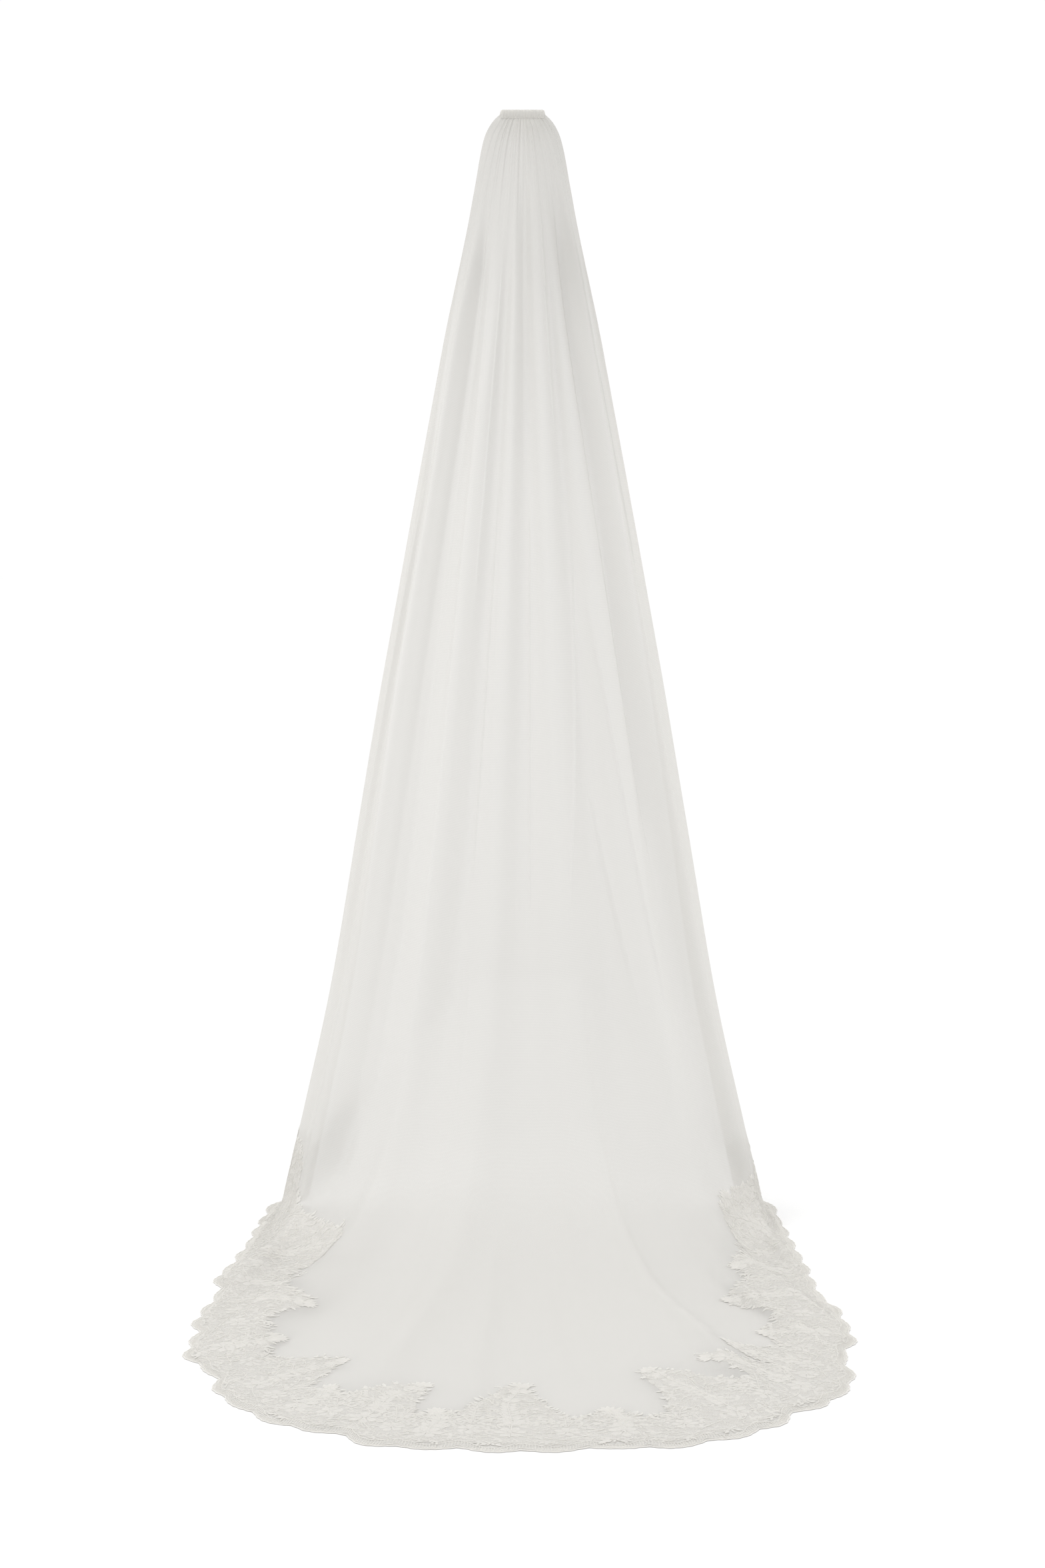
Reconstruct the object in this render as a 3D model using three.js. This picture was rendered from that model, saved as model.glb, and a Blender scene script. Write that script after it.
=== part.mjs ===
// Cathedral bridal veil: one tier of tulle gathered into a binding on a hair comb, with a lace border.
// Millimetres, +Z up. Seen from behind, +X is to the right and the train runs forward along -Y.
// The origin is the middle of the comb's spine, where the veil is pinned into the hair.
import * as THREE from 'three';

// Driving sizes of the whole veil
const TOP_Z = 6;               // top of the binding above the origin
const FLOOR_DROP = 1700;       // from the top of the binding down to the floor
const CLOTH_WALL = 1.5;        // thickness of the tulle's wall
const LACE_WALL = 1.5;         // thickness of the lace's wall
const SEWN_GAP = 0.85;         // space left between two layers that are sewn together
const FLOOR_BEND = 380;        // largest radius with which the tulle turns from hanging to lying
const BEND_SHARE = 0.46;       // largest share of a column's lying length that the bend may take

// The hanging sheet, cut level at each drop from the top: a C-shaped section open towards the wearer.
// half is the outline's half width, back is Y at the centre back, depth is how far the arc comes
// forward, and turn is the angle from the centre back to each free edge, in degrees.
const SECTIONS = [
  { drop: 0, half: 25, back: -5.5, depth: 1, turn: 50 },
  { drop: 14, half: 41, back: -6, depth: 2.5, turn: 58 },
  { drop: 24, half: 48, back: -10, depth: 11, turn: 68 },
  { drop: 45, half: 57, back: -16, depth: 20, turn: 80 },
  { drop: 90, half: 68, back: -25, depth: 30, turn: 90 },
  { drop: 180, half: 85, back: -41, depth: 42, turn: 97 },
  { drop: 340, half: 114, back: -68, depth: 58, turn: 103 },
  { drop: 600, half: 163, back: -108, depth: 82, turn: 109 },
  { drop: 850, half: 209, back: -146, depth: 104, turn: 112 },
  { drop: 1100, half: 252, back: -188, depth: 126, turn: 114 },
  { drop: 1350, half: 296, back: -240, depth: 148, turn: 116 },
  { drop: 1550, half: 340, back: -308, depth: 168, turn: 116 },
  { drop: 1700, half: 374, back: -365, depth: 188, turn: 116 },
];

// The tulle's cut edge on the floor, from the centre of the train to the free edges. out is how far each
// point lies from the centre line. The edge is drawn in where a fold of the train meets it.
const LEFT_HEM = [
  { out: 0, y: -1284 },
  { out: 62, y: -1275 },
  { out: 124, y: -1270 },
  { out: 180, y: -1258 },
  { out: 212, y: -1220 },
  { out: 254, y: -1204 },
  { out: 308, y: -1154 },
  { out: 354, y: -1090 },
  { out: 376, y: -995 },
  { out: 418, y: -908 },
  { out: 417, y: -815 },
  { out: 424, y: -735 },
  { out: 411, y: -605 },
  { out: 420, y: -520 },
  { out: 405, y: -430 },
  { out: 397, y: -320 },
  { out: 390, y: -190 },
  { out: 379, y: -72 },
];
const RIGHT_HEM = [
  { out: 0, y: -1284 },
  { out: 50, y: -1281 },
  { out: 104, y: -1266 },
  { out: 164, y: -1270 },
  { out: 226, y: -1240 },
  { out: 288, y: -1194 },
  { out: 322, y: -1138 },
  { out: 362, y: -1104 },
  { out: 398, y: -1024 },
  { out: 402, y: -915 },
  { out: 421, y: -826 },
  { out: 415, y: -690 },
  { out: 402, y: -620 },
  { out: 396, y: -450 },
  { out: 389, y: -300 },
  { out: 387, y: -190 },
  { out: 379, y: -72 },
];

// How the cloth fans out: a column that ends at this share of the hem, counted from the centre, hangs
// at this share of the section's turn
const FAN = [
  { hem: 0, turned: 0 },
  { hem: 0.25, turned: 0.15 },
  { hem: 0.5, turned: 0.35 },
  { hem: 0.7, turned: 0.55 },
  { hem: 0.85, turned: 0.72 },
  { hem: 0.93, turned: 0.84 },
  { hem: 1, turned: 1 },
];

// Main folds of the tulle. Angles are in degrees round the section from the centre back, right positive.
// The fold starts at a drop, its height is given where it hangs and where it lies, and below zero it is
// a valley. width is half the fold's width, in degrees.
const FOLDS = [
  { name: 'right flap', top: 92, foot: 104, start: 150, hanging: 6, lying: 4, width: 7 },
  { name: 'right ridge', top: 54, foot: 70, start: 60, hanging: 17, lying: 7, width: 6 },
  { name: 'right valley', top: 40, foot: 56, start: 60, hanging: -15, lying: -8, width: 7 },
  { name: 'right inner ridge', top: 28, foot: 43, start: 300, hanging: 9, lying: 14, width: 7 },
  { name: 'centre right valley', top: 22, foot: 27, start: 200, hanging: -8, lying: -8, width: 6 },
  { name: 'centre ridge', top: 14, foot: 13, start: 60, hanging: 10, lying: 13, width: 7 },
  { name: 'centre valley', top: 2, foot: 1, start: 20, hanging: -9, lying: -6, width: 6 },
  { name: 'centre left ridge', top: -6, foot: -10, start: 200, hanging: 8, lying: 13, width: 6 },
  { name: 'centre left valley', top: -14, foot: -20, start: 120, hanging: -9, lying: -6, width: 6 },
  { name: 'left inner ridge', top: -24, foot: -31, start: 260, hanging: 9, lying: 15, width: 7 },
  { name: 'left valley', top: -40, foot: -44, start: 100, hanging: -12, lying: -8, width: 7 },
  { name: 'left ridge', top: -55, foot: -62, start: 150, hanging: 13, lying: 7, width: 7 },
  { name: 'left side valley', top: -68, foot: -77, start: 400, hanging: -8, lying: -4, width: 7 },
  { name: 'left flap', top: -92, foot: -105, start: 150, hanging: 6, lying: 4, width: 7 },
];
const FOLD_RISE = 220;         // length over which a fold comes up to its full height
const HEM_SHARE = 0.3;         // share of its lying height that a fold keeps at the cut edge
const FLOOR_SOFTNESS = 5;      // how gently a valley flattens where the floor stops it
const FOOT = 0.95;             // where along a column the cloth begins to turn from hanging to lying
const FLATTENED = 1.6;         // where the floor has stopped every valley
const FLOOR_FOLD_START = 1.3;  // where the folds of the train alone begin
const FLOOR_FOLD_FULL = 2.3;   // where they have their full height

// Folds of the train alone, which run in from the cut edge where it is drawn in. hem is the share of the
// edge's length from the centre, right positive. width is half the fold's width as such a share.
const FLOOR_FOLDS = [
  { name: 'left side', hem: -0.66, height: 7, width: 0.045 },
  { name: 'left corner', hem: -0.46, height: 12, width: 0.035 },
  { name: 'left of the front', hem: -0.16, height: 10, width: 0.03 },
  { name: 'front left', hem: -0.055, height: 8, width: 0.025 },
  { name: 'front right', hem: 0.07, height: 8, width: 0.025 },
  { name: 'right of the front', hem: 0.25, height: 10, width: 0.03 },
  { name: 'right corner', hem: 0.42, height: 12, width: 0.035 },
  { name: 'right side', hem: 0.63, height: 9, width: 0.035 },
];

// Gathers under the binding
const GATHERS = 14;
const GATHER_HEIGHTS = [
  { drop: 0, height: 0.9 },
  { drop: 14, height: 1.1 },
  { drop: 40, height: 2.6 },
  { drop: 160, height: 3.6 },
  { drop: 420, height: 2.4 },
  { drop: 800, height: 0 },
];

// How finely the tulle is divided
const SHEET_COLUMNS = 80;
const HANGING_ROWS = [4, 13, 24, 42, 75, 130, 220, 360, 570, 840, 1130, 1430, 1700];
const BEND_ROWS = 4;
const LYING_ROWS = 3;

// Lace border: scallops on its outer edge, and pointed sprays on its inner edge
const COLUMNS_PER_TULLE_COLUMN = 2;
const SCALLOP_COLUMNS = 4;
const SCALLOP_DEPTH = 10;
const LACE_OVERHANG = 4;       // how far the lace reaches past the tulle's cut edge between scallops
const SPRAY_COLUMNS = 8;
const CORD_ROW = 14;           // distance of each row of the border from the tulle's cut edge
const PETAL_ROW = 42;
const LACE_DEPTH = 120;        // between two sprays
const SPRAY_HEIGHTS = [290, 225, 260];
const SIDE_RISE = 90;          // how much deeper the border is where it climbs the sides
const SIDE_START = 0.3;        // share of the hem, from the centre, at which it begins to climb
const SIDE_FULL = 0.7;         // share at which it has its full depth
const SPRAY_SHARPNESS = 1.4;   // above 1 a spray's sides curve in towards its tip

// Gathered binding over the tulle's top edge
const BINDING_HALF = 35;
const BINDING_DROP = 13;
const BINDING_WALL = 1.2;
const BINDING_SLOT = 2.6;      // half the room inside the fold of the binding
const BINDING_CORNER = 5;
const BINDING_COLUMNS = 24;
const BINDING_RIBS = 6;
const BINDING_RIB_HEIGHT = 0.45;

// Comb
const COMB = { half: 33, thickness: 2, spine: 6, teeth: 13, length: 38, root: 2.4, tip: 1.2 };

const degrees = Math.PI / 180;
const clamp = (value, low, high) => Math.min(high, Math.max(low, value));
const smooth = (low, high, value) => {
  const t = clamp((value - low) / (high - low), 0, 1);
  return t * t * (3 - 2 * t);
};

// A smooth curve through one column of a table, read at a value of its first column
function tableCurve(rows, at, key) {
  const slope = (i) => {
    const before = rows[Math.max(0, i - 1)];
    const after = rows[Math.min(rows.length - 1, i + 1)];
    return (after[key] - before[key]) / (after[at] - before[at]);
  };
  return (value) => {
    const x = clamp(value, rows[0][at], rows[rows.length - 1][at]);
    let i = 0;
    while (i < rows.length - 2 && x > rows[i + 1][at]) i += 1;
    const span = rows[i + 1][at] - rows[i][at];
    const t = (x - rows[i][at]) / span;
    const t2 = t * t;
    const t3 = t2 * t;
    const start = (2 * t3 - 3 * t2 + 1) * rows[i][key] + (t3 - 2 * t2 + t) * span * slope(i);
    const end = (3 * t2 - 2 * t3) * rows[i + 1][key] + (t3 - t2) * span * slope(i + 1);
    return start + end;
  };
}

const halfWidth = tableCurve(SECTIONS, 'drop', 'half');
const backOf = tableCurve(SECTIONS, 'drop', 'back');
const depthOf = tableCurve(SECTIONS, 'drop', 'depth');
const turnOf = tableCurve(SECTIONS, 'drop', 'turn');
const fanned = tableCurve(FAN, 'hem', 'turned');
const gatherHeight = tableCurve(GATHER_HEIGHTS, 'drop', 'height');

// Angle round the section of the column that ends at a share of the hem, from -1 at the left free edge
// through 0 at the centre to 1 at the right free edge
function angleAt(share, drop) {
  return turnOf(drop) * Math.sign(share) * fanned(Math.abs(share));
}

// Point of the smooth hanging section
function hangingPoint(share, drop) {
  const angle = angleAt(share, drop) * degrees;
  const reach = halfWidth(drop) / Math.sin(Math.min(turnOf(drop), 90) * degrees);
  const y = backOf(drop) + depthOf(drop) * (1 - Math.cos(angle));
  return new THREE.Vector3(reach * Math.sin(angle), y, TOP_Z - drop);
}

// One side of the cut edge as a curve, from the centre of the train to the free edge
function hemSide(rows, sign) {
  const points = rows.map(({ out, y }) => new THREE.Vector3(sign * out, y, TOP_Z - FLOOR_DROP));
  const curve = new THREE.CatmullRomCurve3(points, false, 'centripetal');
  curve.arcLengthDivisions = 400;
  return curve;
}

const leftHem = hemSide(LEFT_HEM, -1);
const rightHem = hemSide(RIGHT_HEM, 1);
const hemPoint = (share) => (share < 0 ? leftHem : rightHem).getPointAt(Math.abs(share));

// One column of the smooth sheet, from the binding to the hem. along runs from 0 to 1 where the column
// hangs, from 1 to 2 round the bend at the floor, and from 2 to 3 where it lies.
function smoothPoint(share, along) {
  const foot = hangingPoint(share, FLOOR_DROP);
  const hem = hemPoint(share);
  const run = foot.distanceTo(hem);
  const bend = Math.min(FLOOR_BEND, BEND_SHARE * run);
  const dropAt = (t) => FLOOR_DROP * t - bend * t * t;
  if (along <= 1) return hangingPoint(share, dropAt(along));
  const outward = hem.clone().sub(foot).normalize();
  const lying = foot.clone().addScaledVector(outward, bend);
  if (along >= 2) return lying.lerp(hem, along - 2);
  const hanging = hangingPoint(share, dropAt(1));
  const t = along - 1;
  return hanging.multiplyScalar((1 - t) ** 2)
    .addScaledVector(foot, 2 * t * (1 - t))
    .addScaledVector(lying, t * t);
}

// Outward direction of the smooth sheet, from its slopes over a short step
function smoothNormal(share, along) {
  const step = 2e-3;
  const before = smoothPoint(share, Math.max(0, along - step));
  const below = smoothPoint(share, Math.min(3, along + step)).sub(before);
  const left = smoothPoint(Math.max(-1, share - step), along);
  const across = smoothPoint(Math.min(1, share + step), along).sub(left);
  return below.cross(across).normalize();
}

// Height of all the folds and gathers above the smooth sheet
function foldHeight(share, along) {
  const drop = FLOOR_DROP * Math.min(along, 1);
  const lying = smooth(FOOT, 2, along);
  const angle = angleAt(share, drop);
  let height = gatherHeight(drop) * Math.cos(2 * Math.PI * GATHERS * (share + 1) / 2);
  for (const fold of FOLDS) {
    const middle = fold.top + (fold.foot - fold.top) * drop / FLOOR_DROP;
    const across = (angle - middle) / fold.width;
    const full = fold.hanging + (fold.lying - fold.hanging) * lying;
    height += full * smooth(fold.start, fold.start + FOLD_RISE, drop) * Math.exp(-across * across);
  }
  for (const fold of FLOOR_FOLDS) {
    const across = (share - fold.hem) / fold.width;
    height += fold.height * smooth(FLOOR_FOLD_START, FLOOR_FOLD_FULL, along) * Math.exp(-across * across);
  }
  height *= 1 - (1 - HEM_SHARE) * clamp(along - 2, 0, 1);
  const lifted = (height + Math.hypot(height, FLOOR_SOFTNESS)) / 2;
  return height + (lifted - height) * smooth(FOOT, FLATTENED, along);
}

// Point in the middle of the tulle's wall, and the direction of its outside
function tullePoint(share, along) {
  const normal = smoothNormal(share, along);
  const height = CLOTH_WALL / 2 * smooth(1, 2, along) + foldHeight(share, along);
  return { point: smoothPoint(share, along).addScaledVector(normal, height), normal };
}

// Closed wall of even thickness about a grid of points. isOpen says which cells of the grid are holes.
function clothWall(grid, thickness, isOpen = () => false) {
  const rows = grid.length;
  const columns = grid[0].length;
  const positions = [];
  for (const side of [0.5, -0.5]) {
    for (const { point, normal } of grid.flat()) {
      positions.push(...point.clone().addScaledVector(normal, side * thickness));
    }
  }
  const inner = rows * columns;
  const present = (row, column) => (
    row >= 0 && column >= 0 && row < rows - 1 && column < columns - 1 && !isOpen(row, column)
  );
  const index = [];
  for (let row = 0; row < rows - 1; row += 1) {
    for (let column = 0; column < columns - 1; column += 1) {
      if (!present(row, column)) continue;
      const a = row * columns + column;
      const b = a + 1;
      const d = a + columns;
      const c = d + 1;
      index.push(a, d, c, a, c, b);
      index.push(inner + a, inner + c, inner + d, inner + a, inner + b, inner + c);
      const edges = [
        [a, d, present(row, column - 1)],
        [d, c, present(row + 1, column)],
        [c, b, present(row, column + 1)],
        [b, a, present(row - 1, column)],
      ];
      for (const [from, to, joined] of edges) {
        if (joined) continue;
        index.push(to, from, inner + from, to, inner + from, inner + to);
      }
    }
  }
  const geometry = new THREE.BufferGeometry();
  geometry.setAttribute('position', new THREE.Float32BufferAttribute(positions, 3));
  geometry.setIndex(index);
  geometry.computeVertexNormals();
  return geometry;
}

// The rows of the tulle as values of along
function tulleRows() {
  const rows = HANGING_ROWS.map((drop) => drop / FLOOR_DROP);
  for (let i = 1; i <= BEND_ROWS; i += 1) rows.push(1 + i / (BEND_ROWS + 1));
  for (let i = 0; i <= LYING_ROWS; i += 1) rows.push(2 + i / LYING_ROWS);
  return rows;
}

function tulleGrid() {
  return tulleRows().map((along) => Array.from({ length: SHEET_COLUMNS + 1 }, (_, column) => (
    tullePoint(2 * column / SHEET_COLUMNS - 1, along)
  )));
}

// Point of the tulle at a distance from its cut edge, up one column of its grid. Below zero the point
// lies beyond the edge.
function fromCutEdge(tulle, column, distance) {
  let row = tulle.length - 1;
  let left = distance;
  let length = tulle[row][column].point.distanceTo(tulle[row - 1][column].point);
  while (left > length && row > 1) {
    left -= length;
    row -= 1;
    length = tulle[row][column].point.distanceTo(tulle[row - 1][column].point);
  }
  const t = left / length;
  const from = tulle[row][column];
  const to = tulle[row - 1][column];
  return {
    point: from.point.clone().lerp(to.point, t),
    normal: from.normal.clone().lerp(to.normal, clamp(t, 0, 1)).normalize(),
  };
}

// Depth of the lace border at one of its columns, with a pointed spray in each repeat and none at the
// free edges
function laceDepth(column, columns) {
  const spray = Math.round(column / SPRAY_COLUMNS);
  const fromTip = Math.abs(column / SPRAY_COLUMNS - spray);
  const share = Math.abs(2 * column / columns - 1);
  const rise = SIDE_RISE * smooth(SIDE_START, SIDE_FULL, share);
  const atFreeEdge = spray === 0 || spray === columns / SPRAY_COLUMNS;
  const tip = atFreeEdge ? 0 : SPRAY_HEIGHTS[spray % SPRAY_HEIGHTS.length] - LACE_DEPTH;
  return LACE_DEPTH + rise + tip * (1 - 2 * fromTip) ** SPRAY_SHARPNESS;
}

function laceGrid(tulle) {
  const columns = SHEET_COLUMNS * COLUMNS_PER_TULLE_COLUMN;
  const lift = (CLOTH_WALL + LACE_WALL) / 2 + SEWN_GAP;
  const cut = Array.from({ length: columns + 1 }, (_, column) => {
    const depth = laceDepth(column, columns);
    const scallop = Math.abs(Math.sin(Math.PI * column / SCALLOP_COLUMNS));
    const third = (depth - PETAL_ROW) / 3;
    return [
      depth,
      PETAL_ROW + 2 * third,
      PETAL_ROW + third,
      PETAL_ROW,
      CORD_ROW,
      -LACE_OVERHANG - SCALLOP_DEPTH * scallop,
    ].map((distance) => {
      const at = column / COLUMNS_PER_TULLE_COLUMN;
      const left = fromCutEdge(tulle, Math.floor(at), distance);
      const right = fromCutEdge(tulle, Math.ceil(at), distance);
      const t = at - Math.floor(at);
      const normal = left.normal.lerp(right.normal, t).normalize();
      return { point: left.point.lerp(right.point, t).addScaledVector(normal, lift), normal };
    });
  });
  return cut[0].map((_, row) => cut.map((column) => column[row]));
}

// Openings of the lace: one in each scallop, and three leaf-shaped ones in each spray, whose tip stands
// at a multiple of SPRAY_COLUMNS
function isLaceOpening(row, column) {
  const inScallop = column % SCALLOP_COLUMNS;
  const inSpray = column % SPRAY_COLUMNS;
  const atFreeEdge = column === 0 || column === SHEET_COLUMNS * COLUMNS_PER_TULLE_COLUMN - 1;
  if (row === 3) return inScallop === 1 || inScallop === 2;
  if (row === 2) return inSpray === 2 || inSpray === SPRAY_COLUMNS - 3;
  if (row === 1) return !atFreeEdge && (inSpray === 0 || inSpray === SPRAY_COLUMNS - 1);
  return false;
}

// The binding is a strip folded over the tulle's top edge. Its profile goes up the side towards the
// wearer, over the top and down the outside.
function bindingGrid() {
  const reach = BINDING_SLOT + BINDING_WALL / 2;
  const profile = [
    { out: -1, up: 0, lean: 180 },
    { out: -1, up: 1, lean: 180 },
    { out: -0.5, up: 1, lean: 120 },
    { out: 0.5, up: 1, lean: 60 },
    { out: 1, up: 1, lean: 0 },
    { out: 1, up: 0.45, lean: 0 },
    { out: 1, up: 0, lean: 0 },
  ];
  return profile.map(({ out, up, lean }) => Array.from({ length: BINDING_COLUMNS + 1 }, (_, column) => {
    const across = 2 * column / BINDING_COLUMNS - 1;
    const x = BINDING_HALF * across;
    const fromEnd = BINDING_HALF - Math.abs(x);
    const inCorner = Math.max(0, BINDING_CORNER - fromEnd);
    const corner = BINDING_CORNER - Math.sqrt(BINDING_CORNER ** 2 - inCorner ** 2);
    const straight = BINDING_DROP - reach - BINDING_WALL / 2 - corner;
    const rib = BINDING_RIB_HEIGHT * Math.cos(Math.PI * BINDING_RIBS * across) * smooth(0, 1, up);
    const y = hangingPoint(clamp(across, -1, 1), 0).y;
    const crown = Math.sin(lean * degrees) * reach;
    const normal = new THREE.Vector3(0, -Math.cos(lean * degrees), Math.sin(lean * degrees));
    const z = TOP_Z - BINDING_DROP + straight * up + crown;
    const point = new THREE.Vector3(x, y - out * reach, z);
    return { point: point.addScaledVector(normal, out > 0 ? rib : 0), normal };
  }));
}

// The comb is cut from one flat plate: a spine with tapered teeth
function combGeometry() {
  const { half, thickness, spine, teeth, length, root, tip } = COMB;
  const outline = new THREE.Shape();
  const pitch = (2 * half - root) / (teeth - 1);
  const chamfer = spine / 4;
  outline.moveTo(-half, -spine / 2);
  for (let i = 0; i < teeth; i += 1) {
    const middle = -half + root / 2 + i * pitch;
    outline.lineTo(middle - root / 2, -spine / 2);
    outline.lineTo(middle - tip / 2, -spine / 2 - length + tip);
    outline.lineTo(middle, -spine / 2 - length);
    outline.lineTo(middle + tip / 2, -spine / 2 - length + tip);
    outline.lineTo(middle + root / 2, -spine / 2);
  }
  outline.lineTo(half, spine / 2 - chamfer);
  outline.lineTo(half - chamfer, spine / 2);
  outline.lineTo(-half + chamfer, spine / 2);
  outline.lineTo(-half, spine / 2 - chamfer);
  const geometry = new THREE.ExtrudeGeometry(outline, { depth: thickness, bevelEnabled: false });
  geometry.translate(0, 0, -thickness / 2);
  geometry.rotateX(Math.PI / 2);
  return geometry;
}

function piece(name, geometry, color, roughness) {
  const material = new THREE.MeshStandardMaterial({ color, roughness, metalness: 0 });
  material.side = THREE.DoubleSide;
  const mesh = new THREE.Mesh(geometry, material);
  mesh.name = name;
  return mesh;
}

const tulle = tulleGrid();
const veil = new THREE.Group();
veil.add(piece('tulle_sheet', clothWall(tulle, CLOTH_WALL), 0xe9e7e1, 0.8));
veil.add(piece('lace_border', clothWall(laceGrid(tulle), LACE_WALL, isLaceOpening), 0xefede6, 0.75));
veil.add(piece('header_band', clothWall(bindingGrid(), BINDING_WALL), 0xe4e2dc, 0.7));
veil.add(piece('comb', combGeometry(), 0xf2f1ec, 0.3));

export default veil;
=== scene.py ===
"""Cathedral bridal veil: tulle gathered onto a comb, with a lace-bordered train. Metres, +Z up.

Seen from behind, +X is to the right and the train runs towards -Y, to the camera.
"""

import logging
import math
from dataclasses import dataclass, field
from enum import Enum
from typing import Sequence

import bpy
import numpy as np
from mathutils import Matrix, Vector


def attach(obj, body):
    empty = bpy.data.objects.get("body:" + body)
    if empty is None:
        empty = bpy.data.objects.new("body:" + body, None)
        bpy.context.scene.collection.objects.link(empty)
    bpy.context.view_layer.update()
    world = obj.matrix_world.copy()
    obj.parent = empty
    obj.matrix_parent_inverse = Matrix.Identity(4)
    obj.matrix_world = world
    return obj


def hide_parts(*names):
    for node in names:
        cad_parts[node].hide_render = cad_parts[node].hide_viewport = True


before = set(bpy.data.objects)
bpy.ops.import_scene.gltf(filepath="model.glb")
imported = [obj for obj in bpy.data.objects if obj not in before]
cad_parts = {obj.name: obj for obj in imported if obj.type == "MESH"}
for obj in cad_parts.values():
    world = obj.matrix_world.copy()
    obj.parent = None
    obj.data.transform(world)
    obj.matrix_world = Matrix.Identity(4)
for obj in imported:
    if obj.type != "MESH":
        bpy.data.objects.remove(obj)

LOG = logging.getLogger("veil")
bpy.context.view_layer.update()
SEED = 11

Array = np.ndarray


def smooth_step(low: float, high: float, value: Array) -> Array:
    """Rise smoothly from 0 at low to 1 at high.

    Args:
        low: Value at which the rise starts.
        high: Value at which it ends.
        value: Where to read it.

    Returns:
        The share of the rise, from 0 to 1.
    """
    t = np.clip((value - low) / (high - low), 0.0, 1.0)
    return t * t * (3.0 - 2.0 * t)


def unit(vectors: Array) -> Array:
    """Scale vectors on the last axis to length 1."""
    return vectors / np.maximum(np.linalg.norm(vectors, axis=-1, keepdims=True), 1e-12)


def lengths_along(points: Array, axis: int = 0) -> Array:
    """Distance walked to each point of a line, or of each line of a grid."""
    steps = np.linalg.norm(np.diff(points, axis=axis), axis=-1)
    return np.insert(np.cumsum(steps, axis=axis), 0, 0.0, axis=axis)


def thread_map(along: Array, across: Array) -> Array:
    """Map coordinates of a grid, from those along its thread and those across it."""
    return np.stack(np.broadcast_arrays(along, across), axis=-1)


def put_in_scene(name: str, data: bpy.types.ID) -> bpy.types.Object:
    """Make an object of some data and link it into the scene."""
    thing = bpy.data.objects.new(name, data)
    bpy.context.scene.collection.objects.link(thing)
    return thing


def bilinear(grid: Array, row: Array, column: Array) -> Array:
    """Read a grid of vectors between its points.

    Args:
        grid: Vectors in rows and columns.
        row: Rows to read, below the last.
        column: Columns to read, below the last.

    Returns:
        The vectors there.
    """
    r, c = row.astype(int), column.astype(int)
    v, u = (row - r)[..., None], (column - c)[..., None]
    near = grid[r, c] * (1 - u) + grid[r, c + 1] * u
    far = grid[r + 1, c] * (1 - u) + grid[r + 1, c + 1] * u
    return near * (1 - v) + far * v


class SmoothTable:
    """A smooth curve through the rows of a short table."""

    def __init__(self, at: Sequence[float], values: Sequence[float]) -> None:
        """Keep the rows and work out the slope at each.

        Args:
            at: Where each row stands, in rising order.
            values: The value of each row.
        """
        self.at = np.asarray(at, float)
        self.values = np.asarray(values, float)
        index = np.arange(len(self.at))
        before = np.maximum(index - 1, 0)
        after = np.minimum(index + 1, len(self.at) - 1)
        self.slopes = (self.values[after] - self.values[before]) / (self.at[after] - self.at[before])

    def __call__(self, where: Array) -> Array:
        """Read the curve.

        Args:
            where: Places to read, held within the table's ends.

        Returns:
            The curve's values there.
        """
        x = np.clip(where, self.at[0], self.at[-1])
        row = np.clip(np.searchsorted(self.at, x, side="right") - 1, 0, len(self.at) - 2)
        span = self.at[row + 1] - self.at[row]
        t = (x - self.at[row]) / span
        start = (2 * t**3 - 3 * t**2 + 1) * self.values[row] + (t**3 - 2 * t**2 + t) * span * self.slopes[row]
        end = (3 * t**2 - 2 * t**3) * self.values[row + 1] + (t**3 - t**2) * span * self.slopes[row + 1]
        return start + end


@dataclass(frozen=True)
class Section:
    """The hanging sheet cut level at one drop from the top: a C open towards the wearer."""

    drop: float
    half: float
    back: float
    depth: float
    turn: float


@dataclass(frozen=True)
class HemPoint:
    """One point of the tulle's cut edge on the floor, and how far out from the centre line it lies."""

    out: float
    y: float


@dataclass(frozen=True)
class Fold:
    """One main fold. Angles are degrees round the section from the centre back, right positive."""

    top: float
    foot: float
    start: float
    hanging: float
    lying: float
    width: float


@dataclass(frozen=True)
class FloorFold:
    """A fold of the train alone. hem and width are shares of the cut edge from the centre."""

    hem: float
    height: float
    width: float


@dataclass(frozen=True)
class Crease:
    """A thin fold with one sharp side, between two drops. Angles are as for a main fold."""

    top: float
    foot: float
    start: float
    end: float
    height: float
    width: float


@dataclass(frozen=True)
class Hollow:
    """A shallow hollow between two folds. wide is in degrees round the section, tall a distance down it."""

    angle: float
    drop: float
    depth: float
    wide: float
    tall: float


@dataclass(frozen=True)
class Spray:
    """One spray of the lace. hem and width are shares of the cut edge, reach is a distance in from it."""

    hem: float
    reach: float
    width: float


def table(kind: type, *rows: tuple) -> tuple:
    """Make a table from rows whose values stand in the order of the kind's fields."""
    return tuple(kind(*row) for row in rows)


# Columns: drop, half, back, depth, turn
SECTIONS = table(
    Section,
    (0.0, 0.025, -0.0055, 0.001, 50),
    (0.014, 0.041, -0.006, 0.0025, 58),
    (0.024, 0.048, -0.010, 0.011, 68),
    (0.045, 0.057, -0.016, 0.020, 80),
    (0.090, 0.068, -0.025, 0.030, 90),
    (0.180, 0.085, -0.041, 0.042, 97),
    (0.340, 0.114, -0.068, 0.058, 103),
    (0.600, 0.163, -0.108, 0.082, 109),
    (0.850, 0.209, -0.146, 0.104, 112),
    (1.100, 0.252, -0.188, 0.126, 114),
    (1.350, 0.296, -0.240, 0.148, 116),
    (1.550, 0.340, -0.308, 0.168, 116),
    (1.700, 0.374, -0.365, 0.188, 116),
)

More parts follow.
